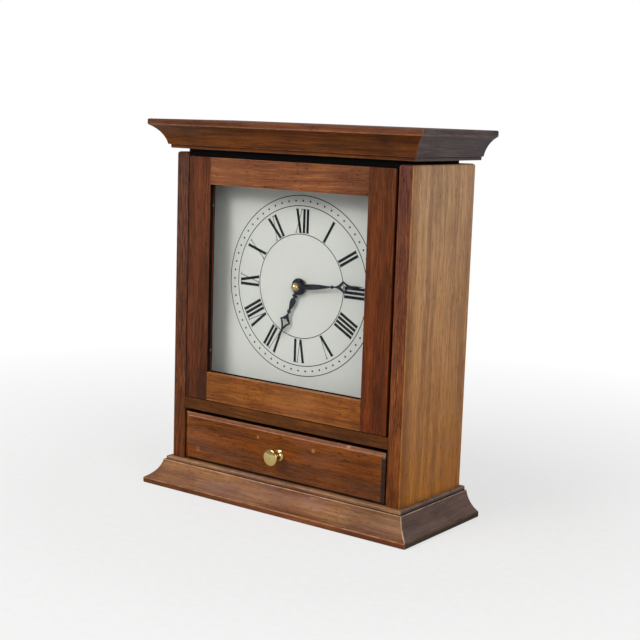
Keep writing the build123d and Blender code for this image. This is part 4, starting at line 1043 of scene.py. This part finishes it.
def serif(shape, across, out, half, turn):
    """Short bar with pointed ends across the end of a stroke."""
    inward = bar if out == foot else -bar
    corners = [
        (across - half, out),
        (across - half * 0.55, out + inward * 1.9),
        (across + half * 0.55, out + inward * 1.9),
        (across + half, out),
        (across + half * 0.9, out - inward * 0.4),
        (across - half * 0.9, out - inward * 0.4),
    ]
    ink_patch(shape, corners, turn)


def letter_i(shape, across, turn):
    """Letter I: one upright stroke."""
    stroke(shape, across, across, thick, turn)
    serif(shape, across, foot, wide_serif, turn)
    serif(shape, across, head, wide_serif, turn)


def letter_v(shape, across, turn):
    """Letter V: a thick and a thin stroke that meet at the foot."""
    stroke(shape, across - 0.1, across - 3.4, thick, turn)
    stroke(shape, across + 0.35, across + 2.5, thin, turn)
    serif(shape, across - 3.4, head, wide_serif, turn)
    serif(shape, across + 2.5, head, narrow_serif, turn)


def letter_x(shape, across, turn):
    """Letter X: a thick and a thin stroke that cross."""
    stroke(shape, across + 1.9, across - 2.1, thick, turn)
    stroke(shape, across - 2.7, across + 2.8, thin, turn)
    serif(shape, across - 2.1, head, wide_serif, turn)
    serif(shape, across + 2.8, head, narrow_serif, turn)
    serif(shape, across + 1.9, foot, middle_serif, turn)
    serif(shape, across - 2.7, foot, narrow_serif, turn)


letters = {"I": letter_i, "V": letter_v, "X": letter_x}

# Room that each letter takes to its left and right
reach = {"I": (1.8, 1.8), "V": (4.3, 3.3), "X": (3.4, 3.5)}
numerals = ("XII", "I", "II", "III", "IIII", "V", "VI", "VII", "VIII", "IX", "X", "XI")


def make_numerals():
    """Twelve Roman numerals with their feet towards the centre."""
    shape = bmesh.new()
    for hour, word in enumerate(numerals):
        width = sum(reach[letter][0] + reach[letter][1] for letter in word)
        across = -width / 2
        for letter in word:
            across += reach[letter][0]
            letters[letter](shape, across, hour * 30.0)
            across += reach[letter][1]
    bmesh.ops.recalc_face_normals(shape, faces=shape.faces)
    show(shape, "dial_numerals", [print_finish], "case")


make_rings()
make_dots()
make_numerals()


# Floor, light and camera


def make_paper():
    """White studio paper that glows towards its far edges, so that it runs into the white surroundings."""
    material, tree, shader = start_material("floor_paper")
    place = put(tree, "ShaderNodeTexCoord").outputs["Object"]
    tooth = noise(tree, place, 140.0, 3.0, 0.6)
    shade = blend_colours(tree, span(tree, tooth, 0.35, 0.65), colour(204, 204, 203), colour(212, 212, 211))
    tree.links.new(shade, shader.inputs["Base Color"])
    tree.links.new(bump(tree, tooth, 0.02, 0.0001), shader.inputs["Normal"])
    shader.inputs["Roughness"].default_value = 0.85
    away = put(tree, "ShaderNodeVectorMath", {0: place}, operation="LENGTH").outputs["Value"]
    far = span(tree, away, 0.22, 0.75, 0.62, 1.0)
    from_camera = put(tree, "ShaderNodeLightPath").outputs["Is Camera Ray"]
    glow_share = number_step(tree, "MULTIPLY", far, from_camera)
    glow = put(tree, "ShaderNodeEmission", {"Color": (1.0, 1.0, 1.0, 1.0), "Strength": 1.0})
    mixed = put(tree, "ShaderNodeMixShader", {"Fac": glow_share})
    tree.links.new(shader.outputs["BSDF"], mixed.inputs[1])
    tree.links.new(glow.outputs["Emission"], mixed.inputs[2])
    tree.links.new(mixed.outputs["Shader"], tree.nodes["Material Output"].inputs["Surface"])
    return material


def make_floor():
    """Flat pale studio floor."""
    shape = bmesh.new()
    first = shape.verts.new((-6.0, -6.0, 0.0))
    last = shape.verts.new((-6.0, 4.0, 0.0))
    wide = bmesh.ops.extrude_edge_only(shape, edges=[shape.edges.new((first, last))])
    moved = [part for part in wide["geom"] if isinstance(part, bmesh.types.BMVert)]
    bmesh.ops.translate(shape, verts=moved, vec=Vector((12.0, 0.0, 0.0)))
    bmesh.ops.recalc_face_normals(shape, faces=shape.faces)
    mesh = bpy.data.meshes.new("studio_floor")
    shape.to_mesh(mesh)
    shape.free()
    mesh.materials.append(make_paper())
    floor = bpy.data.objects.new("studio_floor", mesh)
    bpy.context.scene.collection.objects.link(floor)


def add_light(name, place, target, size, power, tint):
    """Square area light that shines at a point."""
    data = bpy.data.lights.new(name, "AREA")
    data.shape = "SQUARE"
    data.size = size
    data.energy = power
    data.color = tint
    light = bpy.data.objects.new(name, data)
    light.location = place
    light.rotation_euler = (Vector(target) - Vector(place)).to_track_quat("-Z", "Y").to_euler()
    bpy.context.scene.collection.objects.link(light)


def add_camera():
    """Camera at the photograph's viewpoint."""
    data = bpy.data.cameras.new("photo_camera")
    data.lens = 73.68
    data.sensor_width = 36.0
    data.clip_start = 0.01
    stand = (0.64383, -0.86916, 0.32563)
    yaw, pitch, roll = 0.63064, -0.15637, 0.03317
    ahead = Vector((-sin(yaw) * cos(pitch), cos(yaw) * cos(pitch), sin(pitch)))
    level = Vector((cos(yaw), sin(yaw), 0.0))
    raised = level.cross(ahead)
    right = level * cos(roll) + raised * sin(roll)
    above = raised * cos(roll) - level * sin(roll)
    turn = Matrix((right, above, -ahead)).transposed().to_4x4()
    camera = bpy.data.objects.new("photo_camera", data)
    camera.matrix_world = Matrix.Translation(stand) @ turn
    bpy.context.scene.collection.objects.link(camera)
    bpy.context.scene.camera = camera


make_floor()
add_light("key_window", (-0.55, -1.95, 1.4), (0.0, 0.0, 0.18), 0.8, 20.5, (1.0, 0.99, 0.98))
add_light("ceiling", (-0.7, -1.3, 2.1), (0.0, 0.0, 0.1), 2.0, 21.6, (0.97, 0.99, 1.0))
add_light("side_fill", (2.5, -1.0, 1.1), (0.0, 0.0, 0.16), 1.7, 35.8, (1.0, 0.99, 0.98))
add_light("overhead", (0.0, 0.2, 2.4), (0.0, 0.0, 0.0), 1.8, 6.5, (1.0, 1.0, 1.0))
add_camera()

world = bpy.data.worlds.new("studio")
world.use_nodes = True
seen = put(world.node_tree, "ShaderNodeLightPath").outputs["Is Camera Ray"]
strength = span(world.node_tree, seen, 0.0, 1.0, 0.325, 1.0)
world.node_tree.nodes["Background"].inputs["Color"].default_value = (1.0, 1.0, 1.0, 1.0)
world.node_tree.links.new(strength, world.node_tree.nodes["Background"].inputs["Strength"])
bpy.context.scene.world = world
bpy.context.scene.view_settings.view_transform = "Standard"
